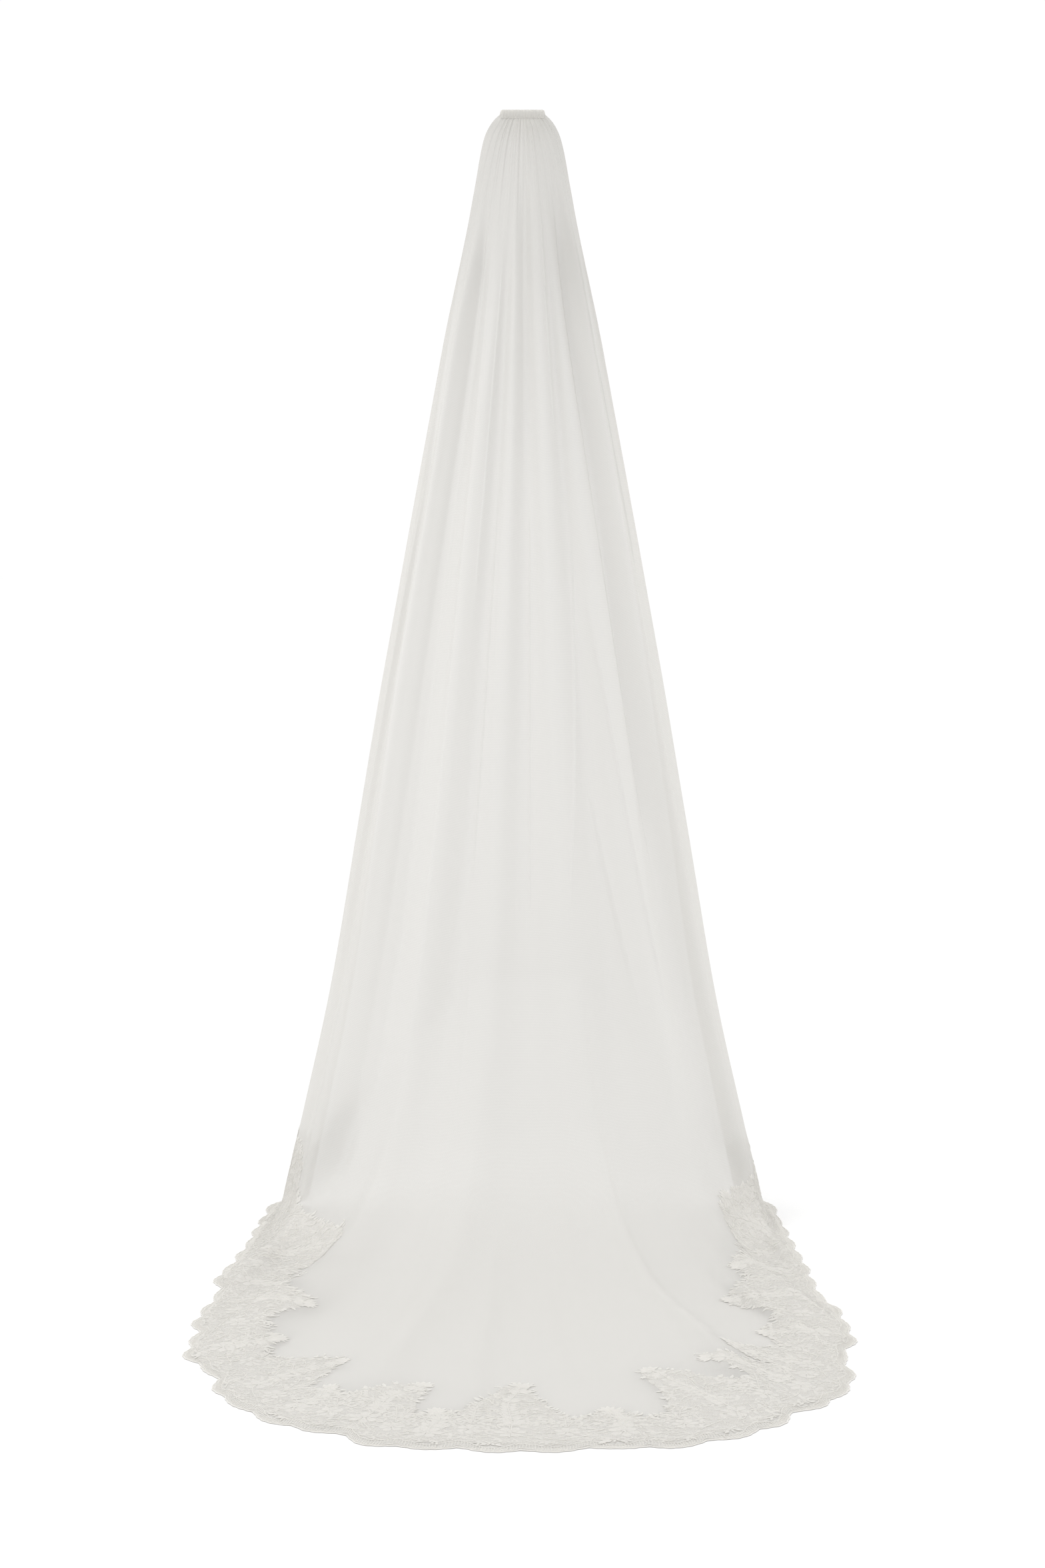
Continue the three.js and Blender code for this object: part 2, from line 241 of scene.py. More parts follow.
# Columns: out, y
LEFT_HEM = table(
    HemPoint,
    (0.0, -1.284), (0.062, -1.275), (0.124, -1.270), (0.180, -1.258),
    (0.212, -1.220), (0.254, -1.204), (0.308, -1.154), (0.354, -1.090),
    (0.376, -0.995), (0.418, -0.908), (0.417, -0.815), (0.424, -0.735),
    (0.411, -0.605), (0.420, -0.520), (0.405, -0.430), (0.397, -0.320),
    (0.390, -0.190), (0.379, -0.072),
)

# Columns: out, y
RIGHT_HEM = table(
    HemPoint,
    (0.0, -1.284), (0.050, -1.281), (0.104, -1.266), (0.164, -1.270),
    (0.226, -1.240), (0.288, -1.194), (0.322, -1.138), (0.362, -1.104),
    (0.398, -1.024), (0.402, -0.915), (0.421, -0.826), (0.415, -0.690),
    (0.402, -0.620), (0.396, -0.450), (0.389, -0.300), (0.387, -0.190),
    (0.379, -0.072),
)

# Columns: top, foot, start, hanging, lying, width
FOLDS = table(
    Fold,
    (92, 104, 0.150, 0.006, 0.004, 7),
    (54, 70, 0.060, 0.014, 0.007, 6),
    (40, 56, 0.060, -0.011, -0.008, 7),
    (28, 43, 0.300, 0.009, 0.014, 7),
    (22, 27, 0.200, -0.008, -0.008, 6),
    (14, 13, 0.060, 0.010, 0.013, 7),
    (2, 1, 0.020, -0.009, -0.006, 6),
    (-6, -10, 0.200, 0.008, 0.013, 6),
    (-14, -20, 0.120, -0.009, -0.006, 6),
    (-24, -31, 0.260, 0.009, 0.015, 7),
    (-40, -44, 0.100, -0.012, -0.008, 7),
    (-55, -62, 0.150, 0.013, 0.007, 7),
    (-68, -77, 0.400, -0.008, -0.004, 7),
    (-92, -105, 0.150, 0.006, 0.004, 7),
)

# Columns: hem, height, width
FLOOR_FOLDS = table(
    FloorFold,
    (-0.66, 0.007, 0.045), (-0.46, 0.012, 0.035),
    (-0.16, 0.010, 0.030), (-0.055, 0.008, 0.025),
    (0.07, 0.008, 0.025), (0.24, 0.014, 0.026),
    (0.42, 0.012, 0.035), (0.63, 0.009, 0.035),
)

# Columns: hem, height, width
BORDER_FOLDS = table(
    FloorFold,
    (-0.335, 0.010, 0.014), (-0.262, 0.008, 0.012),
    (-0.045, 0.008, 0.011), (0.165, 0.010, 0.013),
    (0.290, 0.008, 0.012), (0.520, 0.007, 0.014),
    (-0.640, 0.007, 0.014),
)

# Columns: angle, drop, depth, wide, tall
HOLLOWS = table(
    Hollow,
    (-53.5, 1.755, 0.034, 5.5, 0.052),
    (-44, 0.250, 0.004, 5, 0.050),
)

# Columns: top, foot, start, end, height, width
CREASES = table(
    Crease,
    (5, 2.3, 0.60, 1.62, 0.0030, 2.6),
    (36, 13, 0.66, 1.58, 0.0026, 2.2),
    (-10, -18, 0.60, 1.50, 0.0028, 2.4),
    (12, 50, 0.78, 1.62, 0.0034, 2.8),
    (-5, 38, 1.12, 1.66, 0.0030, 2.4),
    (-38, -56, 0.11, 0.42, 0.0030, 3.0),
    (63, 84, 0.16, 0.80, 0.0034, 3.4),
    (19, 23, 0.10, 0.60, 0.0024, 2.4),
    (-18, -27, 0.20, 0.90, 0.0022, 2.2),
    (-72, -84, 0.50, 1.40, 0.0026, 2.6),
    (37, 56, 0.12, 1.30, -0.0075, 3.8),
)

# Columns: hem, reach, width
SPRAYS = table(
    Spray,
    (-0.930, 0.150, 0.045), (-0.771, 0.158, 0.050), (-0.665, 0.118, 0.032),
    (-0.564, 0.148, 0.044), (-0.420, 0.112, 0.032), (-0.300, 0.158, 0.042),
    (-0.220, 0.116, 0.026), (-0.150, 0.190, 0.036), (-0.080, 0.118, 0.024),
    (-0.011, 0.240, 0.038), (0.085, 0.118, 0.028), (0.200, 0.222, 0.042),
    (0.300, 0.184, 0.032), (0.380, 0.148, 0.028), (0.480, 0.112, 0.032),
    (0.607, 0.136, 0.044), (0.710, 0.104, 0.030), (0.847, 0.118, 0.045),
    (0.950, 0.130, 0.030),
)


@dataclass
class Drape:
    """The veil's shape: a sheet that falls from the comb, turns out at the floor and lies as a train."""

    top_z: float = 0.006
    floor_drop: float = 1.700
    cloth: float = 0.0015
    floor_bend: float = 0.380
    bend_share: float = 0.46
    fold_rise: float = 0.220
    floor_softness: float = 0.005
    foot: float = 0.80
    flattened: float = 1.6
    floor_fold_rows: tuple = (1.3, 2.3)
    border_fold_rows: tuple = (2.35, 2.9)
    bend_drop: float = 0.25
    hem_share: float = 0.04
    hem_power: float = 2.2
    gathers: int = 14
    thin_folds: int = 46
    puff: float = 0.0030
    puff_drops: tuple = (0.004, 0.012, 0.020, 0.120)
    creases_left: float = 0.4
    thin_folds_left: float = 0.5
    crease_fade: float = 0.18
    crease_sharpness: float = 4.0
    thin_fold_fade: float = 0.3
    pleat: float = 0.0003
    pleat_counts: tuple = (17.0, 26.0, 39.0, 57.0)
    fan_hem: tuple = (0.0, 0.25, 0.5, 0.7, 0.85, 0.93, 1.0)
    fan_turned: tuple = (0.0, 0.15, 0.35, 0.55, 0.72, 0.84, 1.0)
    gather_drops: tuple = (0.0, 0.014, 0.040, 0.160, 0.420, 0.800)
    gather_heights: tuple = (0.0004, 0.0004, 0.0005, 0.0004, 0.0002, 0.0)
    hem_sides: dict = field(default_factory=dict)

    def __post_init__(self) -> None:
        """Prepare the smooth curves through the tables."""
        drops = [row.drop for row in SECTIONS]
        self.half = SmoothTable(drops, [row.half for row in SECTIONS])
        self.back = SmoothTable(drops, [row.back for row in SECTIONS])
        self.depth = SmoothTable(drops, [row.depth for row in SECTIONS])
        self.turn = SmoothTable(drops, [row.turn for row in SECTIONS])
        self.fan = SmoothTable(self.fan_hem, self.fan_turned)
        self.gather = SmoothTable(self.gather_drops, self.gather_heights)
        for sign, rows in ((-1, LEFT_HEM), (1, RIGHT_HEM)):
            self.hem_sides[sign] = self.hem_side(sign, rows)

    def hem_side(self, sign: int, rows: Sequence[HemPoint]) -> tuple[SmoothTable, SmoothTable, float]:
        """Curve of one side of the cut edge, read by the share of its length from the centre.

        Args:
            sign: -1 on the left, 1 on the right.
            rows: Its points, from the centre of the train to the free edge.

        Returns:
            The X and Y curves, and the length of the side.
        """
        x = np.array([sign * row.out for row in rows])
        y = np.array([row.y for row in rows])
        chord = np.concatenate([[0.0], np.cumsum(np.hypot(np.diff(x), np.diff(y)))])
        fine = np.linspace(0.0, chord[-1], 800)
        fine_x = SmoothTable(chord, x)(fine)
        fine_y = SmoothTable(chord, y)(fine)
        length = np.concatenate([[0.0], np.cumsum(np.hypot(np.diff(fine_x), np.diff(fine_y)))])
        share = length / length[-1]
        return SmoothTable(share, fine_x), SmoothTable(share, fine_y), float(length[-1])

    @property
    def floor_z(self) -> float:
        """Height of the floor."""
        return self.top_z - self.floor_drop

    @property
    def side_length(self) -> float:
        """Length of the cut edge from the centre to a free edge, as the mean of the two sides."""
        return (self.hem_sides[-1][2] + self.hem_sides[1][2]) / 2

    def angle(self, share: Array, drop: Array) -> Array:
        """Degrees round the section of the column that ends at a share of the hem."""
        return self.turn(drop) * np.sign(share) * self.fan(np.abs(share))

    def hanging_point(self, share: Array, drop: Array) -> Array:
        """Point of the smooth hanging section.

        Args:
            share: Column, from -1 at the left free edge to 1 at the right one.
            drop: Distance below the top.

        Returns:
            Points with X, Y and Z on the last axis.
        """
        angle = np.radians(self.angle(share, drop))
        reach = self.half(drop) / np.sin(np.radians(np.minimum(self.turn(drop), 90.0)))
        y = self.back(drop) + self.depth(drop) * (1.0 - np.cos(angle))
        return np.stack([reach * np.sin(angle), y, self.top_z - drop + 0.0 * share], axis=-1)

    def hem_point(self, share: Array) -> Array:
        """Point of the cut edge on the floor."""
        points = np.zeros(share.shape + (3,))
        points[..., 2] = self.floor_z
        for sign, (curve_x, curve_y, _) in self.hem_sides.items():
            side = share < 0 if sign < 0 else share >= 0
            points[side, 0] = curve_x(np.abs(share[side]))
            points[side, 1] = curve_y(np.abs(share[side]))
        return points

    def smooth_points(self, share: Array, along: Array) -> Array:
        """Grid of the smooth sheet.

        Args:
            share: The columns.
            along: The rows: 0 to 1 hangs, 1 to 2 bends at the floor, 2 to 3 lies.

        Returns:
            Points in rows and columns.
        """
        share_grid, along_grid = np.meshgrid(share, along)
        foot = self.hanging_point(share_grid, np.full_like(share_grid, self.floor_drop))
        hem = self.hem_point(share_grid)
        run = np.linalg.norm(hem - foot, axis=-1)
        bend = np.minimum(self.floor_bend, self.bend_share * run)
        outward = (hem - foot) / run[..., None]
        lying = foot + outward * bend[..., None]
        t = np.minimum(along_grid, 1.0)
        hanging = self.hanging_point(share_grid, self.floor_drop * t - bend * t * t)
        b = np.clip(along_grid - 1.0, 0.0, 1.0)[..., None]
        bent = hanging * (1 - b) ** 2 + foot * 2 * b * (1 - b) + lying * b * b
        flat = lying + (hem - lying) * np.clip(along_grid - 2.0, 0.0, 1.0)[..., None]
        rows = along_grid[..., None]
        return np.where(rows <= 1, hanging, np.where(rows < 2, bent, flat))

    def smooth_normals(self, share: Array, along: Array) -> Array:
        """Outward normals of the smooth sheet, on the same grid."""
        step = 2e-3
        below = self.smooth_points(share, np.minimum(along + step, 3.0))
        above = self.smooth_points(share, np.maximum(along - step, 0.0))
        right = self.smooth_points(np.minimum(share + step, 1.0), along)
        left = self.smooth_points(np.maximum(share - step, -1.0), along)
        return unit(np.cross(below - above, right - left))

    def fold_heights(self, share: Array, along: Array) -> Array:
        """Height of the folds and gathers above the smooth sheet."""
        share_grid, along_grid = np.meshgrid(share, along)
        drop = self.floor_drop * np.minimum(along_grid, 1.0)
        lying = smooth_step(self.foot, 2.0, along_grid)
        angle = self.angle(share_grid, drop)
        height = self.gather(drop) * np.cos(np.pi * self.gathers * (share_grid + 1))
        height += self.puff_heights(drop)
        for fold in FOLDS:
            middle = fold.top + (fold.foot - fold.top) * drop / self.floor_drop
            full = fold.hanging + (fold.lying - fold.hanging) * lying
            rise = smooth_step(fold.start, fold.start + self.fold_rise, drop)
            height += full * rise * np.exp(-((angle - middle) / fold.width) ** 2)
        height += self.crease_heights(angle, drop) * (1 - (1 - self.creases_left) * lying)
        height += self.thin_fold_heights(angle, drop) * (1 - (1 - self.thin_folds_left) * lying)
        height += self.pleat_heights(share_grid, drop)
        nominal = drop + self.bend_drop * np.clip(along_grid - 1, 0, 1)
        for hollow in HOLLOWS:
            beside = (angle - hollow.angle) / hollow.wide
            below = (nominal - hollow.drop) / hollow.tall
            height -= hollow.depth * np.exp(-(beside**2 + below**2))
        for folds, rows in ((FLOOR_FOLDS, self.floor_fold_rows), (BORDER_FOLDS, self.border_fold_rows)):
            rise = smooth_step(*rows, along_grid)
            for fold in folds:
                height += fold.height * rise * np.exp(-((share_grid - fold.hem) / fold.width) ** 2)
        height *= 1 - (1 - self.hem_share) * np.clip(along_grid - 2.0, 0.0, 1.0) ** self.hem_power
        lifted = (height + np.hypot(height, self.floor_softness)) / 2
        return height + (lifted - height) * smooth_step(self.foot, self.flattened, along_grid)

    def puff_heights(self, drop: Array) -> Array:
        """How far the gathered cloth puffs out below the binding."""
        start, full, ebb, end = self.puff_drops
        return self.puff * smooth_step(start, full, drop) * (1 - smooth_step(ebb, end, drop))

    def crease_heights(self, angle: Array, drop: Array) -> Array:
        """Height of the thin folds that have one sharp side."""
        height = np.zeros_like(angle)
        for crease in CREASES:
            middle = crease.top + (crease.foot - crease.top) * drop / self.floor_drop
            across = (angle - middle) / crease.width
            soft = np.exp(-np.clip(across, 0, 30))
            sharp = np.exp(np.clip(self.crease_sharpness * across, -30, 0))
            profile = np.where(across > 0, soft, sharp)
            fade = smooth_step(crease.start, crease.start + self.crease_fade, drop)
            fade = fade * (1 - smooth_step(crease.end - self.crease_fade, crease.end, drop))
            height += crease.height * fade * profile
        return height

    def thin_fold_heights(self, angle: Array, drop: Array) -> Array:
        """Height of the soft thin folds that lie between the main folds."""
        rng = np.random.default_rng(SEED)
        height = np.zeros_like(angle)
        for _ in range(self.thin_folds):
            top = rng.uniform(-105, 105)
            foot = top * rng.uniform(0.95, 1.2) + rng.uniform(-5, 5)
            wander = rng.uniform(0.3, 1.4) * np.sin(drop * rng.uniform(1.5, 4) + rng.uniform(0, 6.3))
            middle = top + (foot - top) * drop / self.floor_drop + wander
            start = rng.uniform(0.0, 0.9)
            length = rng.uniform(0.5, 1.4)
            size = rng.uniform(0.0006, 0.0018) * rng.choice([-1, 1])
            width = rng.uniform(1.4, 4.0)
            end = start + length
            fade = smooth_step(start, start + self.thin_fold_fade, drop)
            fade = fade * (1 - smooth_step(end, end + self.thin_fold_fade, drop))
            height += size * fade * np.exp(-np.abs((angle - middle) / width) ** 1.7)
        return height

    def pleat_heights(self, share: Array, drop: Array) -> Array:
        """Height of the small uneven pleats that the gathering thread draws up under the binding."""
        rng = np.random.default_rng(SEED + 1)
        height = np.zeros_like(share)
        for count in self.pleat_counts:
            bend = rng.uniform(1.5, 3.0) * np.sin(rng.uniform(2, 5) * share + rng.uniform(0, 6.3))
            swell = 0.6 + 0.4 * np.sin(rng.uniform(3, 9) * share + rng.uniform(0, 6.3))
            reach = rng.uniform(0.10, 0.26) * (26.0 / count) ** 0.5
            fade = smooth_step(0.0, 0.03, drop) * (1 - smooth_step(0.25 * reach, reach, drop))
            size = self.pleat * (self.pleat_counts[0] / count) ** 0.4 * swell * (0.3 + 0.7 * fade)
            ebb = 1 - smooth_step(0.6 * reach, 1.4 * reach, drop)
            height += size * np.cos(np.pi * count * share + bend) * ebb
        return height

    def points(self, share: Array, along: Array) -> tuple[Array, Array]:
        """Grid of the draped tulle and its outward normals."""
        normals = self.smooth_normals(share, along)
        rows = smooth_step(1.0, 2.0, along)[:, None]
        height = self.cloth / 2 * rows + self.fold_heights(share, along)
        return self.smooth_points(share, along) + normals * height[..., None], normals


@dataclass(frozen=True)
class Shape:
    """A small mesh of quads in its own frame: X across, Y along, Z off the cloth, and its thread map."""

    points: Array
    quads: Array
    uv: Array


def grid_quads(rows: int, columns: int) -> Array:
    """Quads of a grid of points stored row by row."""
    index = np.arange(rows * columns).reshape(rows, columns)
    corners = [index[:-1, :-1], index[1:, :-1], index[1:, 1:], index[:-1, 1:]]
    return np.stack(corners, axis=-1).reshape(-1, 4)


class Patchwork:
    """Gathers many small quad meshes into one piece."""

    def __init__(self) -> None:
        """Start empty."""
        self.points: list[Array] = []
        self.quads: list[Array] = []
        self.uv: list[Array] = []
        self.count = 0

    def add(self, points: Array, quads: Array, uv: Array) -> None:
        """Add one mesh, or many copies of one.

        Args:
            points: Points of shape (n, 3), or (copies, n, 3).
            quads: Quads of one copy.
            uv: Map coordinates of one copy, or of each.
        """
        points = points if points.ndim == 3 else points[None]
        copies, size = points.shape[:2]
        offsets = self.count + size * np.arange(copies)
        self.points.append(points.reshape(-1, 3))
        self.quads.append((quads[None] + offsets[:, None, None]).reshape(-1, 4))
        self.uv.append(np.broadcast_to(uv, (copies, size, 2)).reshape(-1, 2))
        self.count += copies * size

    def add_grid(self, grid: Array, uv: Array, inside_out: bool = False) -> None:
        """Add a grid of points in rows and columns.

        Args:
            grid: Its points.
            uv: Its map coordinates.
            inside_out: Whether its faces look the other way.
        """
        quads = grid_quads(*grid.shape[:2])
        self.add(grid.reshape(-1, 3), quads[:, ::-1] if inside_out else quads, uv.reshape(-1, 2))

    def build(self, name: str, material: bpy.types.Material) -> bpy.types.Object:
        """Make the piece.

        Args:
            name: Its name.
            material: Its finish.

        Returns:
            The new object.
        """
        points = np.concatenate(self.points).astype(np.float32)
        quads = np.concatenate(self.quads).astype(np.int32)
        uv = np.concatenate(self.uv).astype(np.float32)
        mesh = bpy.data.meshes.new(name)
        mesh.vertices.add(len(points))
        mesh.vertices.foreach_set("co", points.ravel())
        mesh.loops.add(quads.size)
        mesh.loops.foreach_set("vertex_index", quads.ravel())
        mesh.polygons.add(len(quads))
        mesh.polygons.foreach_set("loop_start", np.arange(0, quads.size, 4, dtype=np.int32))
        layer = mesh.uv_layers.new(name="cloth")
        layer.data.foreach_set("uv", uv[quads.ravel()].ravel())
        mesh.shade_smooth()
        mesh.update(calc_edges=True)
        mesh.validate()
        mesh.materials.append(material)
        piece = put_in_scene(name, mesh)
        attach(piece, "root")
        return piece


class Nodes:
    """Small helper that adds and links the nodes of one material."""

    def __init__(self, name: str) -> None:
        """Start a material with its shader and output.

        Args:
            name: Name of the material.
        """
        self.material = bpy.data.materials.new(name)
        self.material.use_nodes = True
        self.tree = self.material.node_tree
        self.shader = self.tree.nodes["Principled BSDF"]

    def add(self, kind: str, **settings: object) -> bpy.types.Node:
        """Add a node.

        Args:
            kind: Blender's node type.
            settings: Properties, or with a leading underscore the default of an input of that name.

        Returns:
            The node.
        """
        node = self.tree.nodes.new(kind)
        for key, value in settings.items():
            if key.startswith("_"):
                node.inputs[key[1:].replace("_", " ")].default_value = value
            else:
                setattr(node, key, value)
        return node

    def set_shader(self, **values: object) -> None:
        """Set inputs of the shader by name, with underscores for spaces."""
        for name, value in values.items():
            self.shader.inputs[name.replace("_", " ")].default_value = value

    def link(self, source: bpy.types.NodeSocket, target: bpy.types.NodeSocket) -> None:
        """Join two sockets."""
        self.tree.links.new(source, target)

    def math(self, operation: str, *values: object) -> bpy.types.NodeSocket:
        """Add a Math node.

        Args:
            operation: What it does.
            values: Sockets or numbers for its inputs.

        Returns:
            Its output.
        """
        node = self.tree.nodes.new("ShaderNodeMath")
        node.operation = operation
        for socket, value in zip(node.inputs, values):
            if isinstance(value, bpy.types.NodeSocket):
                self.link(value, socket)
            else:
                socket.default_value = value
        return node.outputs[0]

    def map_range(self, value: bpy.types.NodeSocket, source: tuple, target: tuple) -> bpy.types.NodeSocket:
        """Scale a value from one range to another, held at the ends.

        Args:
            value: The socket to scale.
            source: Where the range starts and ends.
            target: What it becomes there.

        Returns:
            The scaled value.
        """
        node = self.tree.nodes.new("ShaderNodeMapRange")
        self.link(value, node.inputs["Value"])
        for key, number in zip(("From Min", "From Max", "To Min", "To Max"), (*source, *target)):
            node.inputs[key].default_value = number
        return node.outputs[0]

    def colour(self, share: bpy.types.NodeSocket, first: tuple, second: tuple) -> None:
        """Colour the shader with a mix of two colours.

        Args:
            share: How much of the second one shows.
            first: The first colour.
            second: The second colour.
        """
        node = self.add("ShaderNodeMix", data_type="RGBA")
        self.link(share, node.inputs["Factor"])
        node.inputs["A"].default_value = first
        node.inputs["B"].default_value = second
        self.link(node.outputs["Result"], self.shader.inputs["Base Color"])

    def bump(self, height: bpy.types.NodeSocket, depth: float, strength: float = 1.0) -> None:
        """Turn a height into fine relief on the shader.

        Args:
            height: Height from 0 to 1.
            depth: What 1 stands for, in metres.
            strength: Share of it that shows.
        """
        node = self.add("ShaderNodeBump", _Strength=strength, _Distance=depth)
        self.link(height, node.inputs["Height"])
        self.link(node.outputs[0], self.shader.inputs["Normal"])

    def let_light_through(self, share: float, colour: tuple,
                          alpha: bpy.types.NodeSocket | None = None) -> None:
        """Send part of the light on through the cloth.

        Args:
            share: How much of the light that isn't absorbed goes through.
            colour: Colour of that light.
            alpha: How closed the cloth is, if it is a net.
        """
        through = self.add("ShaderNodeBsdfTranslucent", _Color=colour)
        cloth = self.add("ShaderNodeMixShader")
        cloth.inputs[0].default_value = share
        self.link(self.shader.outputs[0], cloth.inputs[1])
        self.link(through.outputs[0], cloth.inputs[2])
        output = self.tree.nodes["Material Output"].inputs["Surface"]
        if alpha is None:
            self.link(cloth.outputs[0], output)
            return
        net = self.add("ShaderNodeMixShader")
        self.link(alpha, net.inputs[0])
        self.link(self.add("ShaderNodeBsdfTransparent").outputs[0], net.inputs[1])
        self.link(cloth.outputs[0], net.inputs[2])
        self.link(net.outputs[0], output)

    def cloth_map(self) -> bpy.types.NodeSocket:
        """Coordinates along the cloth, in metres."""
        return self.add("ShaderNodeUVMap", uv_map="cloth").outputs[0]

    def net(self, cell: float) -> bpy.types.NodeSocket:
        """Distance to the thread of a hexagonal net, as a share of its cell."""
        split = self.add("ShaderNodeSeparateXYZ")
        self.link(self.cloth_map(), split.inputs[0])
        slant = self.math("ADD", split.outputs[0], self.math("MULTIPLY", split.outputs[1], 0.5774))
        place = self.add("ShaderNodeCombineXYZ")
        self.link(slant, place.inputs[0])
        self.link(self.math("MULTIPLY", split.outputs[1], 1.1547), place.inputs[1])
        cells = self.add("ShaderNodeTexVoronoi", voronoi_dimensions="2D", feature="DISTANCE_TO_EDGE",
                         _Scale=1 / cell, _Randomness=0.0)
        self.link(place.outputs[0], cells.inputs["Vector"])
        return cells.outputs["Distance"]


@dataclass(frozen=True)
class TulleFinish:
    """Fine hexagonal net of matt ivory thread, closed where it is gathered, with painted shade mixed into its
    colour.
    """

    colour: tuple = (0.713, 0.703, 0.678, 1.0)
    # Colour of the painted shade, mixed in where the gathers, the right side and the bend would be in shade.
    crowded_colour: tuple = (0.520, 0.511, 0.490, 1.0)
    cell: float = 0.0016
    thread: float = 0.13
    hole_alpha: float = 0.80
    relief: float = 0.00012
    through: float = 0.45

    def build(self) -> bpy.types.Material:
        """Make the material."""
        nodes = Nodes("ivory tulle")
        crowded = nodes.add("ShaderNodeAttribute", attribute_name="crowded").outputs["Fac"]
        # Painted shade and light: the colour moves towards the darker one by the per-point share of painted
        # shade.
        nodes.colour(crowded, self.colour, self.crowded_colour)
        nodes.set_shader(Roughness=0.75, Specular_IOR_Level=0.2)
        thread = nodes.map_range(nodes.net(self.cell), (self.thread * 0.6, self.thread), (1.0, 0.0))
        open_net = nodes.map_range(thread, (0.0, 1.0), (self.hole_alpha, 1.0))
        gathered = nodes.add("ShaderNodeAttribute", attribute_name="gathered").outputs["Fac"]
        closed = nodes.math("MULTIPLY", nodes.math("SUBTRACT", 1.0, open_net), gathered)
        nodes.bump(thread, self.relief, 0.4)
        nodes.let_light_through(self.through, self.colour, nodes.math("ADD", open_net, closed))
        return nodes.material


@dataclass(frozen=True)
class LaceGroundFinish:
    """The lace's own net, with uneven worked bars across it."""

    colour: tuple = (0.754, 0.742, 0.714, 1.0)
    bar_colour: tuple = (0.812, 0.800, 0.769, 1.0)
    cell: float = 0.0012
    bar_cell: float = 0.0034
    hole_alpha: float = 0.92
    relief: float = 0.0002
    through: float = 0.50

    def build(self) -> bpy.types.Material:
        """Make the material."""
        nodes = Nodes("lace net")
        nodes.set_shader(Roughness=0.8, Specular_IOR_Level=0.2)
        net = nodes.map_range(nodes.net(self.cell), (0.10, 0.17), (1.0, 0.0))
        cells = nodes.add("ShaderNodeTexVoronoi", voronoi_dimensions="2D", feature="DISTANCE_TO_EDGE",
                          _Scale=1 / self.bar_cell, _Randomness=1.0)
        nodes.link(nodes.cloth_map(), cells.inputs["Vector"])
        bars = nodes.map_range(cells.outputs["Distance"], (0.07, 0.15), (1.0, 0.0))
        solid = nodes.math("MAXIMUM", net, bars)
        nodes.colour(bars, self.colour, self.bar_colour)
        nodes.bump(solid, self.relief, 0.5)
        alpha = nodes.map_range(solid, (0.0, 1.0), (self.hole_alpha, 1.0))
        nodes.let_light_through(self.through, self.colour, alpha)
        return nodes.material


@dataclass(frozen=True)
class StitchFinish:
    """Satin-stitched ivory thread, lying in fine rows, with painted shade in the grooves between them."""

    name: str
    light: tuple = (0.829, 0.816, 0.787, 1.0)
    # Darker colour of the painted shade in the grooves between the thread rows.
    groove_shade_colour: tuple = (0.753, 0.742, 0.714, 1.0)
    row: float = 0.0007
    relief: float = 0.00012
    through: float = 0.50

    def build(self) -> bpy.types.Material:
        """Make the material."""
        nodes = Nodes(self.name)
        nodes.set_shader(Roughness=0.6, Specular_IOR_Level=0.3, Sheen_Weight=0.15)
        split = nodes.add("ShaderNodeSeparateXYZ")
        nodes.link(nodes.cloth_map(), split.inputs[0])
        wobble = nodes.add("ShaderNodeTexNoise", noise_dimensions="2D", _Scale=900.0, _Detail=1.0)
        nodes.link(nodes.cloth_map(), wobble.inputs["Vector"])
        turn = nodes.math("MULTIPLY_ADD", split.outputs[0], 2 * math.pi / self.row,
                          nodes.math("MULTIPLY", wobble.outputs["Fac"], 3.0))
        rows = nodes.math("MULTIPLY_ADD", nodes.math("SINE", turn), 0.5, 0.5)
        # Painted shade: the colour darkens between the thread rows, where the grooves would be in shade; the
        # bump gives the rows their relief.
        nodes.colour(rows, self.groove_shade_colour, self.light)
        nodes.bump(rows, self.relief, 0.5)
        nodes.let_light_through(self.through, self.light)
        return nodes.material


@dataclass(frozen=True)
class CombFinish:
    """Clear ivory moulded plastic."""

    colour: tuple = (0.83, 0.82, 0.77, 1.0)
    relief: float = 0.0001

    def build(self) -> bpy.types.Material:
        """Make the material."""
        nodes = Nodes("moulded comb")
        nodes.set_shader(Roughness=0.18, Coat_Weight=0.3, Subsurface_Weight=0.2,
                         Subsurface_Radius=(0.002, 0.002, 0.0018))
        place = nodes.add("ShaderNodeTexCoord").outputs["Object"]
        flow = nodes.add("ShaderNodeTexNoise", _Scale=160.0, _Detail=3.0)
        nodes.link(place, flow.inputs["Vector"])
        cloudy = (self.colour[0] * 0.93, self.colour[1] * 0.93, self.colour[2] * 0.9, 1.0)
        nodes.colour(flow.outputs["Fac"], cloudy, self.colour)
        nodes.bump(flow.outputs["Fac"], self.relief, 0.3)
        return nodes.material


